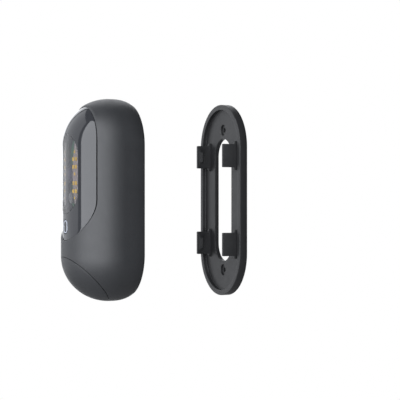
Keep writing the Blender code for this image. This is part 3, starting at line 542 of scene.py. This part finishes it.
MATERIALS = {
    "satin_grey_plastic": moulded(
        "satin_grey_plastic", (0.019, 0.02, 0.022), 0.48, grain=2600, height=0.018 * MM, wander=0.03),
    "bracket_plastic": moulded(
        "bracket_plastic", (0.009, 0.0093, 0.01), 0.48, grain=1900, height=0.03 * MM, wander=0.05),
    "gloss_panel": make_gloss_panel(),
    "window_tint": make_window_tint(),
    "light_guide": make_light_guide(),
    "black_rubber": moulded("black_rubber", (0.018, 0.018, 0.019), 0.75, grain=1500, height=0.05 * MM),
    "black_plastic": moulded("black_plastic", (0.022, 0.022, 0.024), 0.5, grain=1700, height=0.04 * MM),
    "circuit_board": make_circuit_board(),
    "flex_circuit": moulded(
        "flex_circuit", (0.37, 0.31, 0.31), 0.35, grain=900, height=0.02 * MM, wander=0.12),
    "bare_steel": metal("bare_steel", (0.6, 0.6, 0.61), 0.3),
    "lens_glass": make_lens_glass(),
    "cell_wrap": make_cell_wrap(),
    "silicon_die": moulded("silicon_die", (0.05, 0.045, 0.08), 0.2, grain=3000, height=0.005 * MM),
}
GOLD_PAD = metal("gold_pad", (1.0, 0.62, 0.02), 0.55, metallic=0.0)


# ---------------------------------------------------------------- the body's shells

def spaced(count, first=0):
    """Shares from 0 to 1 in equal steps, leaving out the first ones."""
    return [step / count for step in range(first, count + 1)]


def tapered(points, depth):
    """An outline of the body's straight back part, drawn in towards the back plane."""
    share = (1 - depth / STRAIGHT) ** BACK_TAPER_CURVE
    wide = 1 - BACK_TAPER_WIDTH * share
    tall = 1 - BACK_TAPER_HEIGHT * share
    return [at(x * wide, depth, z * tall) for x, z in points]


def panel_lip(inset, sink):
    """The housing's rounded edge round the panel, fuller at the top and bottom than along the sides."""
    points = []
    for (near_x, near_z), (far_x, far_z) in zip(panel_ring(GAP), panel_ring(GAP + inset)):
        across = min(1.0, abs(near_x) / PANEL_HALF_WIDTH)
        share = 1 - (1 - SIDE_LIP_SHARE) * across ** 2
        points.append((near_x + (far_x - near_x) * share, near_z + (far_z - near_z) * share, sink * share))
    return points


def outer_body_rings(start, first_share):
    """Rings from an outline on the front to the widest one, evenly spaced round the bend."""
    start_angle = math.acos(first_share)
    rings = []
    for share in spaced(30, first=1):
        cosine = math.cos(start_angle * (1 - share))
        rings.append(on_dome(between(start, body_ring(), (cosine - first_share) / (1 - first_share))))
    return rings


def bisect(bm, place, outward, clear_outer=True, clear_inner=False):
    bmesh.ops.bisect_plane(
        bm, geom=bm.verts[:] + bm.edges[:] + bm.faces[:], dist=0.0000005, plane_co=place,
        plane_no=outward, clear_outer=clear_outer, clear_inner=clear_inner)


def fill_holes(bm):
    bmesh.ops.holes_fill(bm, edges=[edge for edge in bm.edges if edge.is_boundary], sides=0)


def seam_loops(bm, side):
    """Cut away what lies beyond the cap's seam, and round the outer edge that is left."""
    radius = SEAM_EDGE
    outer_share = 0.96  # points further out than this are on the outer skin
    outward = DOWN_AND_OUT * side
    seam = SEAM_POINT - outward * SEAM_GAP / 2
    for inset, _ in lip(radius):
        bisect(bm, seam - outward * inset, outward, clear_outer=inset == 0)
    for vert in bm.verts:
        inset = (seam - vert.co).dot(outward)
        x, forward, z = vert.co.x, BACK_Y - vert.co.y - STRAIGHT, vert.co.z
        over = math.copysign(max(0.0, abs(z) - RISE), z)
        share = (x * x + over * over) / HALF_WIDTH ** 2 + (forward / ROUND) ** 2
        if share > outer_share and inset < radius:
            sink = radius - math.sqrt(max(0.0, radius ** 2 - (radius - inset) ** 2))
            vert.co -= dome_normal(x, forward, over, HALF_WIDTH, ROUND) * sink
    rim = [edge for edge in bm.edges if edge.is_boundary]
    bmesh.ops.bridge_loops(bm, edges=rim)


def build_housing():
    """One closed band: the lip round the panel, the outer skin, the back edge and the inner skin."""
    start = panel_ring(GAP)
    first_share = PANEL_HALF_WIDTH / HALF_WIDTH
    rings = []
    for inset, sink in lip(LIP_EDGE, 2 * LIP_STEPS):
        rings.append([
            dome_point(x, z, HALF_WIDTH, ROUND, depth) for x, z, depth in panel_lip(inset, sink)])
    rings += outer_body_rings([(x, z) for x, z, _ in panel_lip(LIP_EDGE, 0)], first_share)
    for share in spaced(6, first=1)[:-1]:
        rings.append(tapered(body_ring(), STRAIGHT * (1 - share)))
    for inset, sink in reversed(list(lip(BACK_EDGE))):
        rings.append(tapered(body_ring(sink), inset))
    for inset, sink in lip(BACK_EDGE):
        rings.append(tapered(body_ring(WALL - sink), inset))
    inner = {"half_width": HALF_WIDTH - WALL, "round_depth": ROUND - WALL}
    for share in spaced(3, first=1):
        rings.append(tapered(body_ring(WALL), STRAIGHT * share))
    for share in reversed(spaced(10)[:-1]):
        cosine = math.cos(math.acos(first_share) * (1 - share))
        place = (cosine - first_share) / (1 - first_share)
        rings.append(on_dome(between(start, body_ring(WALL), place), **inner))
    bm = bmesh.new()
    loft(bm, rings, closed=True)
    weld(bm)
    seam_loops(bm, 1)
    weld(bm)
    housing = new_object("housing_shell", bm)
    finish_piece(housing, "doorbell", MATERIALS["satin_grey_plastic"], "satin_grey_plastic", "housing")


def dome_rings(inset, steps):
    """Rings of the whole front dome, from the line along its crown to its widest outline."""
    rings = []
    for share in spaced(steps):
        angle = math.radians(90) * (1 - share)
        outline = ring((HALF_WIDTH - inset) * math.cos(angle), RISE, -RISE)
        rings.append(on_dome(outline, half_width=HALF_WIDTH - inset, round_depth=ROUND - inset))
    return rings


def build_bottom_cap():
    """The end of the dome below the seam, hollow, with three sound slots in its underside."""
    bm = bmesh.new()
    loft(bm, dome_rings(0, 44), closed=False)
    bmesh.ops.remove_doubles(bm, verts=bm.verts, dist=0.000002)
    bmesh.ops.recalc_face_normals(bm, faces=bm.faces)
    loft(bm, dome_rings(CAP_WALL, 20), closed=False)
    weld(bm)
    seam_loops(bm, -1)
    weld(bm)
    cap = new_object("bottom_cap_shell", bm)
    cut(cap, "DIFFERENCE", [sound_slot(SOUND_SLOT_DEPTH + row * SOUND_SLOT_PITCH) for row in (-1, 0, 1)])
    finish_piece(cap, "cap", MATERIALS["satin_grey_plastic"], "satin_grey_plastic", "bottom_cap")


def sound_slot(depth):
    """A round-ended upright cutter across the bottom of the cap."""
    straight = SOUND_SLOT_HALF_LENGTH - SOUND_SLOT_HALF_WIDTH
    steps = 24
    bm = bmesh.new()
    rings = []
    for height in (-HALF_HEIGHT - 2 * MM, -HALF_HEIGHT + 8 * MM):
        points = []
        for step in range(steps):
            angle = math.tau * step / steps
            x = SOUND_SLOT_HALF_WIDTH * math.cos(angle) + math.copysign(straight, math.cos(angle))
            points.append(at(x, depth + SOUND_SLOT_HALF_WIDTH * math.sin(angle), height))
        rings.append(points)
    loft(bm, rings, closed=False)
    fill_holes(bm)
    weld(bm)
    return new_object("sound_slot", bm)


def build_cap_tongue():
    """The ribbon on the cap that slips into the housing."""
    bm = bmesh.new()
    loft(bm, dome_rings(WALL + TONGUE_PLAY, 30), closed=False)
    bmesh.ops.remove_doubles(bm, verts=bm.verts, dist=0.000002)
    bisect(bm, SEAM_POINT, DOWN_AND_OUT, clear_inner=True)
    bmesh.ops.translate(bm, verts=bm.verts, vec=DOWN_AND_OUT * -TONGUE_REACH)
    made = bmesh.ops.extrude_edge_only(bm, edges=bm.edges[:])["geom"]
    lower = [item for item in made if isinstance(item, bmesh.types.BMVert)]
    bmesh.ops.translate(bm, verts=lower, vec=DOWN_AND_OUT * TONGUE_LENGTH)
    bmesh.ops.recalc_face_normals(bm, faces=bm.faces)
    face = max(bm.faces, key=lambda one: one.calc_center_median().x)
    if face.normal.x < 0:
        bmesh.ops.reverse_faces(bm, faces=bm.faces)
    tongue = new_object("bottom_cap_tongue", bm)
    thick = tongue.modifiers.new("wall", "SOLIDIFY")
    thick.thickness = TONGUE_WALL
    thick.offset = -1
    thick.use_even_offset = True
    apply_modifiers(tongue)
    round_edges(tongue, 0.25 * MM)
    finish_piece(tongue, "cap", MATERIALS["satin_grey_plastic"], "satin_grey_plastic")


def build_bulkhead():
    """The slanted wall inside the housing, under the cap, with the charging port and the sound holes."""
    inner = WALL - 0.05 * MM
    rings = dome_rings(inner, 30)
    rings.append([at(x, STRAIGHT / 3, z) for x, z in body_ring(inner)])
    bm = bmesh.new()
    loft(bm, rings, closed=False)
    bmesh.ops.remove_doubles(bm, verts=bm.verts, dist=0.000002)
    for inset, side in ((BULKHEAD_INSET, 1), (BULKHEAD_INSET + BULKHEAD_THICKNESS, -1)):
        bisect(bm, SEAM_POINT - DOWN_AND_OUT * inset, DOWN_AND_OUT * side)
    fill_holes(bm)
    weld(bm)
    bulkhead = new_object("housing_bulkhead", bm)
    seam_turn = Matrix.Rotation(math.radians(45), 4, "X")
    low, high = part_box("charging_socket")
    port = box_tool("port", (low + high) / 2, PORT_SIZE, seam_turn)
    round_edges(port, PORT_CORNER, 4)
    tools = [port]
    speaker_low, speaker_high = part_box("speaker")
    middle = (speaker_low + speaker_high) / 2
    for column in (-1, 0, 1):
        for row in (-1, 0, 1):
            across = Vector((column * SOUND_HOLE_PITCH, 0, 0))
            start = middle + across + UP_AND_OUT * row * SOUND_HOLE_PITCH
            end = start + DOWN_AND_OUT * SOUND_HOLE_REACH
            tools.append(rod_tool("sound_hole", start, end, SOUND_HOLE_RADIUS, steps=24))
    cut(bulkhead, "DIFFERENCE", tools, "MANIFOLD")
    finish_piece(bulkhead, "doorbell", MATERIALS["satin_grey_plastic"], "satin_grey_plastic", angle=30)


def build_rear_cover():
    """The flat back plate, with a pocket for each clip and a sunk hole for each screw."""
    inset = WALL + GAP
    crown = ring(0.0, RISE, -RISE)
    rings = []
    for share in spaced(8)[:-1]:
        rings.append(tapered(between(crown, body_ring(inset + COVER_EDGE), share), COVER_BACK))
    for rim_in, rim_up in reversed(list(lip(COVER_EDGE))):
        rings.append(tapered(body_ring(inset + rim_in), COVER_BACK + rim_up))
    for share in reversed(spaced(3)):
        rings.append(tapered(between(crown, body_ring(inset), share), COVER_FRONT))
    bm = bmesh.new()
    loft(bm, rings, closed=False)
    weld(bm)
    cover = new_object("rear_cover_plate", bm)
    cups = []
    pockets = []
    for side in (-1, 1):
        for level in (-1, 1):
            cups.append(clip_pocket(side, level, CUP_WALL, COVER_FRONT - 0.5 * MM, POCKET_DEPTH + CUP_WALL))
            pockets.append(clip_pocket(side, level, 0, -MM, POCKET_DEPTH))
    cut(cover, "UNION", cups)
    for x, height in cover_screw_places():
        hole_radius = SCREW_SHANK_RADIUS + 0.35 * MM
        pockets.append(rod_tool("screw_hole", at(x, -MM, height), at(x, 4 * MM, height), hole_radius))
        pockets.append(rod_tool(
            "screw_sink", at(x, -MM, height), at(x, SCREW_SINK, height), SCREW_SINK_RADIUS))
        pockets.append(rod_tool(
            "screw_chamfer", at(x, 0, height), at(x, 0.5 * MM, height), SCREW_SINK_RADIUS + 0.4 * MM,
            end_radius=SCREW_SINK_RADIUS - 0.1 * MM))
    cut(cover, "DIFFERENCE", pockets)
    finish_piece(
        cover, "doorbell", MATERIALS["satin_grey_plastic"], "satin_grey_plastic", "rear_cover", angle=30)


def clip_pocket(side, level, grow, back, front):
    """A round-cornered block where one of the bracket's clips enters the rear cover."""
    play = POCKET_PLAY + 2 * grow
    wide = CLIP_THICKNESS + BARB_REACH + play
    tall = 2 * CLIP_HALF_LENGTH + play
    centre = at(side * (CLIP_OFFSET - BARB_REACH / 2), (back + front) / 2, level * CLIP_HEIGHT)
    block = box_tool("clip_pocket", centre, (wide, front - back, tall))
    round_edges(block, 0.4 * MM, 2)
    return block


def cover_screw_places():
    """Across and height of each cover screw."""
    places = []
    for name in COVER_SCREWS:
        low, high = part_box(name)
        places.append(((low.x + high.x) / 2, (low.z + high.z) / 2))
    return places


def build_cover_screws():
    """Flat-topped screws with a cross recess, seen from behind."""
    head = SCREW_HEAD_RADIUS
    seat = SCREW_SINK - GAP
    top = seat - SCREW_HEAD_HEIGHT
    rim = 0.4 * MM
    rim_middle = 0.12 * MM
    point = SCREW_END - 1.4 * MM
    for name, (x, height) in zip(COVER_SCREWS, cover_screw_places()):
        profile = [
            (0, top), (head - rim, top), (head - rim_middle, top + rim_middle), (head, top + rim),
            (head, seat), (SCREW_SHANK_RADIUS, seat), (SCREW_SHANK_RADIUS, point), (0, SCREW_END)]
        place = Matrix.Translation(at(x, 0, height)) @ Matrix.Rotation(math.radians(90), 4, "X")
        screw = turned(name + "_fine", profile, place)
        arms = []
        for turn in (0, 90):
            arms.append(box_tool(
                "drive", at(x, top, height), (2.5 * MM, 1.5 * MM, 0.55 * MM),
                Matrix.Rotation(math.radians(turn + 20), 4, "Y")))
        cut(screw, "DIFFERENCE", arms)
        finish_piece(screw, "doorbell", MATERIALS["bare_steel"], "bare_steel", name, angle=30)


# ---------------------------------------------------------------- the front pieces

def annulus(name, inner, outer, thickness, edge, steps, half_width, round_depth):
    """A shell on the dome between two outlines, each a function of growth, with rounded edges."""
    form = {"half_width": half_width, "round_depth": round_depth, "rise": PANEL_RISE}
    rings = [on_dome(inner(inset), sink, **form) for inset, sink in lip(edge)]
    for share in spaced(steps)[1:-1]:
        rings.append(on_dome(between(inner(edge), outer(-edge), share), **form))
    rings += [on_dome(outer(-inset), sink, **form) for inset, sink in reversed(list(lip(edge)))]
    for share in reversed(spaced(4)):
        rings.append(on_dome(between(inner(0), outer(0), share), thickness, **form))
    bm = bmesh.new()
    loft(bm, rings, closed=True)
    weld(bm)
    return new_object(name, bm)


def disc(name, outline, thickness, edge, steps, half_width, round_depth, dish=0.0):
    """A shell on the dome inside one outline, a function of growth and share, with a rounded edge."""
    form = {"half_width": half_width, "round_depth": round_depth, "rise": PANEL_RISE}
    rings = []
    for share in spaced(steps)[:-1]:
        rings.append(on_dome(outline(-edge, share), dish * (1 - share ** 2), **form))
    rings += [on_dome(outline(-inset), sink, **form) for inset, sink in reversed(list(lip(edge)))]
    for share in reversed(spaced(6)):
        rings.append(on_dome(outline(0, share), thickness, **form))
    bm = bmesh.new()
    loft(bm, rings, closed=False)
    weld(bm)
    return new_object(name, bm)


def build_front_panel():
    """The glossy panel, with a hole for the window and one for the button and its ring."""
    panel = annulus(
        "front_panel_shell", lambda grow: window_ring(WINDOW_GAP + grow), panel_shell_ring,
        PANEL_THICKNESS, PANEL_EDGE, 22, HALF_WIDTH, PANEL_ROUND)
    points = button_ring(3 * GAP + RING_WIDTH)
    reach = 10 * MM
    front = STRAIGHT + PANEL_ROUND
    bm = bmesh.new()
    rings = [[at(x, depth, z) for x, z in points] for depth in (front - reach, front + reach)]
    loft(bm, rings, closed=False)
    fill_holes(bm)
    weld(bm)
    cut(panel, "DIFFERENCE", [new_object("button_hole", bm)])
    finish_piece(panel, "doorbell", MATERIALS["gloss_panel"], "gloss_panel", "front_panel")


def build_window():
    window = disc(
        "window_glass", window_ring, WINDOW_THICKNESS, WINDOW_EDGE, 20, HALF_WIDTH + WINDOW_PROUD,
        WINDOW_ROUND)
    finish_piece(window, "doorbell", MATERIALS["window_tint"], "window_tint", "window_cover")
    window.visible_shadow = False  # so that light reaches the strips behind it


def build_button():
    button = disc(
        "push_button_cap", button_ring, BUTTON_THICKNESS, BUTTON_EDGE, 6, HALF_WIDTH, BUTTON_ROUND,
        dish=BUTTON_DISH)
    finish_piece(button, "button", MATERIALS["satin_grey_plastic"], "satin_grey_plastic", "push_button")
    guide = annulus(
        "button_light_guide", lambda grow: button_ring(GAP + grow),
        lambda grow: button_ring(GAP + RING_WIDTH + grow), RING_THICKNESS, RING_EDGE, 3, HALF_WIDTH,
        BUTTON_ROUND)
    finish_piece(guide, "doorbell", MATERIALS["light_guide"], "light_guide", "button_light_ring")


# ---------------------------------------------------------------- the wall bracket

def build_wall_bracket():
    """A pill-shaped plate turned from rings: outer wall, rim, recess and slot."""
    def outline(half_width, rise, depth):
        return [on_wall(x, depth, z) for x, z in ring(half_width, rise, -rise)]

    edge = 0.4 * MM
    fine = 0.25 * MM
    fillet = 0.5 * MM
    recess = BRACKET_HALF_WIDTH - BRACKET_RIM
    rings = [outline(BRACKET_HALF_WIDTH - sink, BRACKET_RISE, inset) for inset, sink in lip(edge)]
    rings += [
        outline(BRACKET_HALF_WIDTH - inset, BRACKET_RISE, BRACKET_DEPTH - sink)
        for inset, sink in lip(edge)]
    rings += [
        outline(recess + inset, BRACKET_RISE, BRACKET_DEPTH - sink)
        for inset, sink in reversed(list(lip(fine)))]
    rings += [outline(recess - inset, BRACKET_RISE, BRACKET_BASE + sink) for inset, sink in lip(fillet)]
    flat = recess - fillet
    for share in spaced(6)[1:-1]:
        half_width = flat + (SLOT_HALF_WIDTH - flat) * share
        rings.append(outline(half_width, BRACKET_RISE + (SLOT_RISE - BRACKET_RISE) * share, BRACKET_BASE))
    rings += [
        outline(SLOT_HALF_WIDTH + inset, SLOT_RISE, BRACKET_BASE - sink)
        for inset, sink in reversed(list(lip(fine)))]
    rings += [outline(SLOT_HALF_WIDTH + inset, SLOT_RISE, sink) for inset, sink in lip(fine)]
    for share in spaced(3)[1:-1]:
        half_width = SLOT_HALF_WIDTH + (BRACKET_HALF_WIDTH - SLOT_HALF_WIDTH) * share
        rings.append(outline(half_width, SLOT_RISE + (BRACKET_RISE - SLOT_RISE) * share, 0))
    bm = bmesh.new()
    loft(bm, rings, closed=True)
    weld(bm)
    plate = new_object("wall_bracket_plate", bm)
    tools = []
    for level in (-1, 1):
        z = level * WALL_HOLE_HEIGHT
        above = on_wall(0, BRACKET_BASE + 2 * MM, z)
        sunk = on_wall(0, BRACKET_BASE - WALL_HOLE_SINK, z)
        tools.append(rod_tool("wall_hole", on_wall(0, -MM, z), above, WALL_HOLE_RADIUS))
        tools.append(rod_tool("wall_hole_sink", sunk, above, WALL_HOLE_SINK_RADIUS, steps=48))
        chamfer_low = on_wall(0, BRACKET_BASE - 0.35 * MM, z)
        chamfer_high = on_wall(0, BRACKET_BASE + 0.1 * MM, z)
        tools.append(rod_tool(
            "wall_hole_chamfer", chamfer_low, chamfer_high, WALL_HOLE_SINK_RADIUS - 0.05 * MM,
            end_radius=WALL_HOLE_SINK_RADIUS + 0.4 * MM, steps=48))
    cut(plate, "DIFFERENCE", tools)
    finish_piece(
        plate, "bracket", MATERIALS["bracket_plastic"], "bracket_plastic", "wall_bracket", angle=30)
    for side, across in ((-1, "left"), (1, "right")):
        for level, up in ((-1, "lower"), (1, "upper")):
            build_clip("wall_bracket_clip_%s_%s" % (up, across), side, level)


def prism(name, points, thickness, place):
    """A flat outline drawn out on both sides of its plane."""
    rings = []
    for height in (-thickness / 2, thickness / 2):
        rings.append([place @ Vector((first, second, height)) for first, second in points])
    bm = bmesh.new()
    loft(bm, rings, closed=False)
    fill_holes(bm)
    weld(bm)
    return new_object(name, bm)


def build_clip(name, side, level):
    """A snap clip: a plate with a flared root, with a barb and a shallow recess on its inner face."""
    root = BRACKET_BASE - 0.4 * MM
    neck = BRACKET_BASE + CLIP_NECK
    shoulder = BRACKET_BASE + CLIP_SHOULDER
    half = [(root, CLIP_ROOT_HALF_LENGTH), (shoulder, CLIP_ROOT_HALF_LENGTH)]
    for step in range(7):
        angle = math.radians(90) * step / 6
        sweep = CLIP_ROOT_HALF_LENGTH - CLIP_HALF_LENGTH
        half.append((
            neck - (neck - shoulder) * (1 - math.sin(angle)),
            CLIP_ROOT_HALF_LENGTH - sweep * (1 - math.cos(angle))))
    corner = 0.6 * MM
    for inset, sink in reversed(list(lip(corner))):
        half.append((CLIP_TIP - inset, CLIP_HALF_LENGTH - sink))
    points = half + [(depth, -reach) for depth, reach in reversed(half)]
    side_view = Matrix(((0, 0, -1, 0), (-1, 0, 0, 0), (0, 1, 0, 0), (0, 0, 0, 1)))
    place = Matrix.Translation(Vector((side * CLIP_OFFSET, 0, level * CLIP_HEIGHT))) @ side_view
    clip = prism(name, points, CLIP_THICKNESS, place)
    inner = CLIP_OFFSET - CLIP_THICKNESS / 2
    recess_depth = CLIP_TIP - BARB_END - CLIP_RECESS_WIDTH / 2
    recess = box_tool(
        "clip_recess", on_wall(side * inner, recess_depth, level * CLIP_HEIGHT),
        (1.2 * MM, CLIP_RECESS_WIDTH, 2 * BARB_HALF_LENGTH + 0.6 * MM))
    cut(clip, "DIFFERENCE", [recess])
    root_x = side * (inner + 0.4 * MM)
    crest_x = side * (inner - BARB_REACH)
    barb = [
        (root_x, CLIP_TIP - 1.3 * MM), (side * inner, CLIP_TIP - 1.6 * MM),
        (crest_x, CLIP_TIP - BARB_END + 0.3 * MM), (crest_x, CLIP_TIP - BARB_END),
        (root_x, CLIP_TIP - BARB_END)]
    level_view = Matrix(((1, 0, 0, 0), (0, -1, 0, 0), (0, 0, -1, 0), (0, 0, 0, 1)))
    barb_place = Matrix.Translation(Vector((0, 0, level * CLIP_HEIGHT))) @ level_view
    cut(clip, "UNION", [prism("barb", barb, 2 * BARB_HALF_LENGTH, barb_place)])
    round_edges(clip, 0.18 * MM, 2, 30)
    finish_piece(clip, "bracket", MATERIALS["bracket_plastic"], "bracket_plastic", angle=30)


# ---------------------------------------------------------------- behind the window

def build_emitter_strips():
    """The gold pads on the infrared emitters' carriers behind the window."""
    form = {"half_width": HALF_WIDTH - STRIP_INSET, "round_depth": STRIP_ROUND, "rise": PANEL_RISE}
    for side, name in ((-1, "left"), (1, "right")):
        low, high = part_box("emitter_strip_" + name)
        middle = (low + high) / 2
        pads = bmesh.new()
        for height, pad_count, scale in PAD_ROWS:
            for place in range(pad_count):
                across = (place - (pad_count - 1) / 2) * PAD_PITCH
                x = middle.x + side * PAD_SHIFT + across
                z = middle.z + height
                centre = dome_point(x, z, sink=-PAD_HEIGHT / 2, **form)
                outward = (centre - dome_point(x, z, sink=PAD_HEIGHT, **form)).normalized()
                turn = Vector((0, -1, 0)).rotation_difference(outward).to_matrix().to_4x4()
                size = Matrix.Diagonal((PAD_WIDTH * scale, PAD_HEIGHT, PAD_LENGTH * scale, 1))
                bmesh.ops.create_cube(pads, size=1, matrix=Matrix.Translation(centre) @ turn @ size)
        obj = new_object("emitter_pads_" + name, pads)
        round_edges(obj, 0.06 * MM, 2)
        finish_piece(obj, "doorbell", GOLD_PAD, "flex_circuit")


def dress_cad_nodes():
    """Give every CAD node that still shows its procedural material."""
    for row in frame["record"]["subparts"]:
        node = frame["nodes"][row["node"]]
        if node.hide_render:
            continue
        node.data.materials.clear()
        node.data.materials.append(MATERIALS[row["material_slot"]])


# ---------------------------------------------------------------- stage, light and camera

def build_stage():
    """A round pale floor well below the doorbell, which hangs on its wall."""
    radius = 1.4
    drop = 0.45
    bm = bmesh.new()
    bmesh.ops.create_circle(bm, cap_ends=True, segments=96, radius=radius)
    floor = new_object("floor", bm)
    floor.location = (0, 0, -drop)
    floor.data.materials.append(make_floor_finish())


def direction(azimuth, elevation):
    """Azimuth 0 is straight in front of the doorbell and 90 is on its +X side."""
    turn, lift = math.radians(azimuth), math.radians(elevation)
    return Vector((math.sin(turn) * math.cos(lift), -math.cos(turn) * math.cos(lift), math.sin(lift)))


def soft_box(name, sides, top, bottom, distance, radiance):
    """An upright area light of a given radiance, between two azimuths and two elevations."""
    azimuth = (sides[0] + sides[1]) / 2
    width = 2 * distance * math.tan(math.radians((sides[1] - sides[0]) / 2))
    high = distance * math.tan(math.radians(top))
    low = distance * math.tan(math.radians(bottom))
    height = high - low
    data = bpy.data.lights.new(name, "AREA")
    data.shape = "RECTANGLE"
    data.size = width
    data.size_y = height
    data.energy = radiance * math.pi * width * height
    data.color = (0.94, 0.96, 1.0)
    light = bpy.data.objects.new(name, data)
    toward = direction(azimuth, 0)
    light.location = toward * distance + Vector((0, 0, (high + low) / 2))
    light.rotation_mode = "QUATERNION"
    light.rotation_quaternion = toward.to_track_quat("Z", "Y")
    bpy.context.scene.collection.objects.link(light)


def build_world():
    """A white studio, plain white to the eye and dimmer as a light, which keeps the dark plastic dark."""
    world = bpy.data.worlds.new("studio")
    world.use_nodes = True
    bpy.context.scene.world = world
    tree = world.node_tree
    background = tree.nodes["Background"]
    background.inputs["Color"].default_value = (1, 1, 1, 1)
    path = tree.nodes.new("ShaderNodeLightPath")
    level = tree.nodes.new("ShaderNodeMapRange")
    level.inputs["To Min"].default_value = 0.1
    level.inputs["To Max"].default_value = 1.0
    tree.links.new(path.outputs["Is Camera Ray"], level.inputs["Value"])
    tree.links.new(level.outputs["Result"], background.inputs["Strength"])


def build_lights():
    soft_box("key", (-2, 74), 57, -22, 1.0, 4.5)
    soft_box("left_fill", (-75, -11), 49, -30, 1.1, 1.12)
    soft_box("rim", (-130, -80), 66, -45, 1.0, 1.7)


def build_camera():
    """Level with the doorbell and mostly from its right side."""
    azimuth = 64
    distance = 0.932
    aside = 0.01983
    toward = direction(azimuth, 0)
    right = direction(azimuth + 90, 0)
    data = bpy.data.cameras.new("camera")
    data.lens = 113.6
    data.sensor_width = 36
    camera = bpy.data.objects.new("camera", data)
    camera.location = toward * distance - right * aside
    camera.rotation_euler = (math.radians(90), 0, math.radians(azimuth))
    bpy.context.scene.collection.objects.link(camera)
    bpy.context.scene.camera = camera


build_housing()
build_bottom_cap()
build_cap_tongue()
build_bulkhead()
build_rear_cover()
build_cover_screws()
build_front_panel()
build_window()
build_button()
build_emitter_strips()
build_wall_bracket()
dress_cad_nodes()

build_stage()
build_world()
build_lights()
build_camera()
bpy.context.scene.view_settings.view_transform = "Standard"
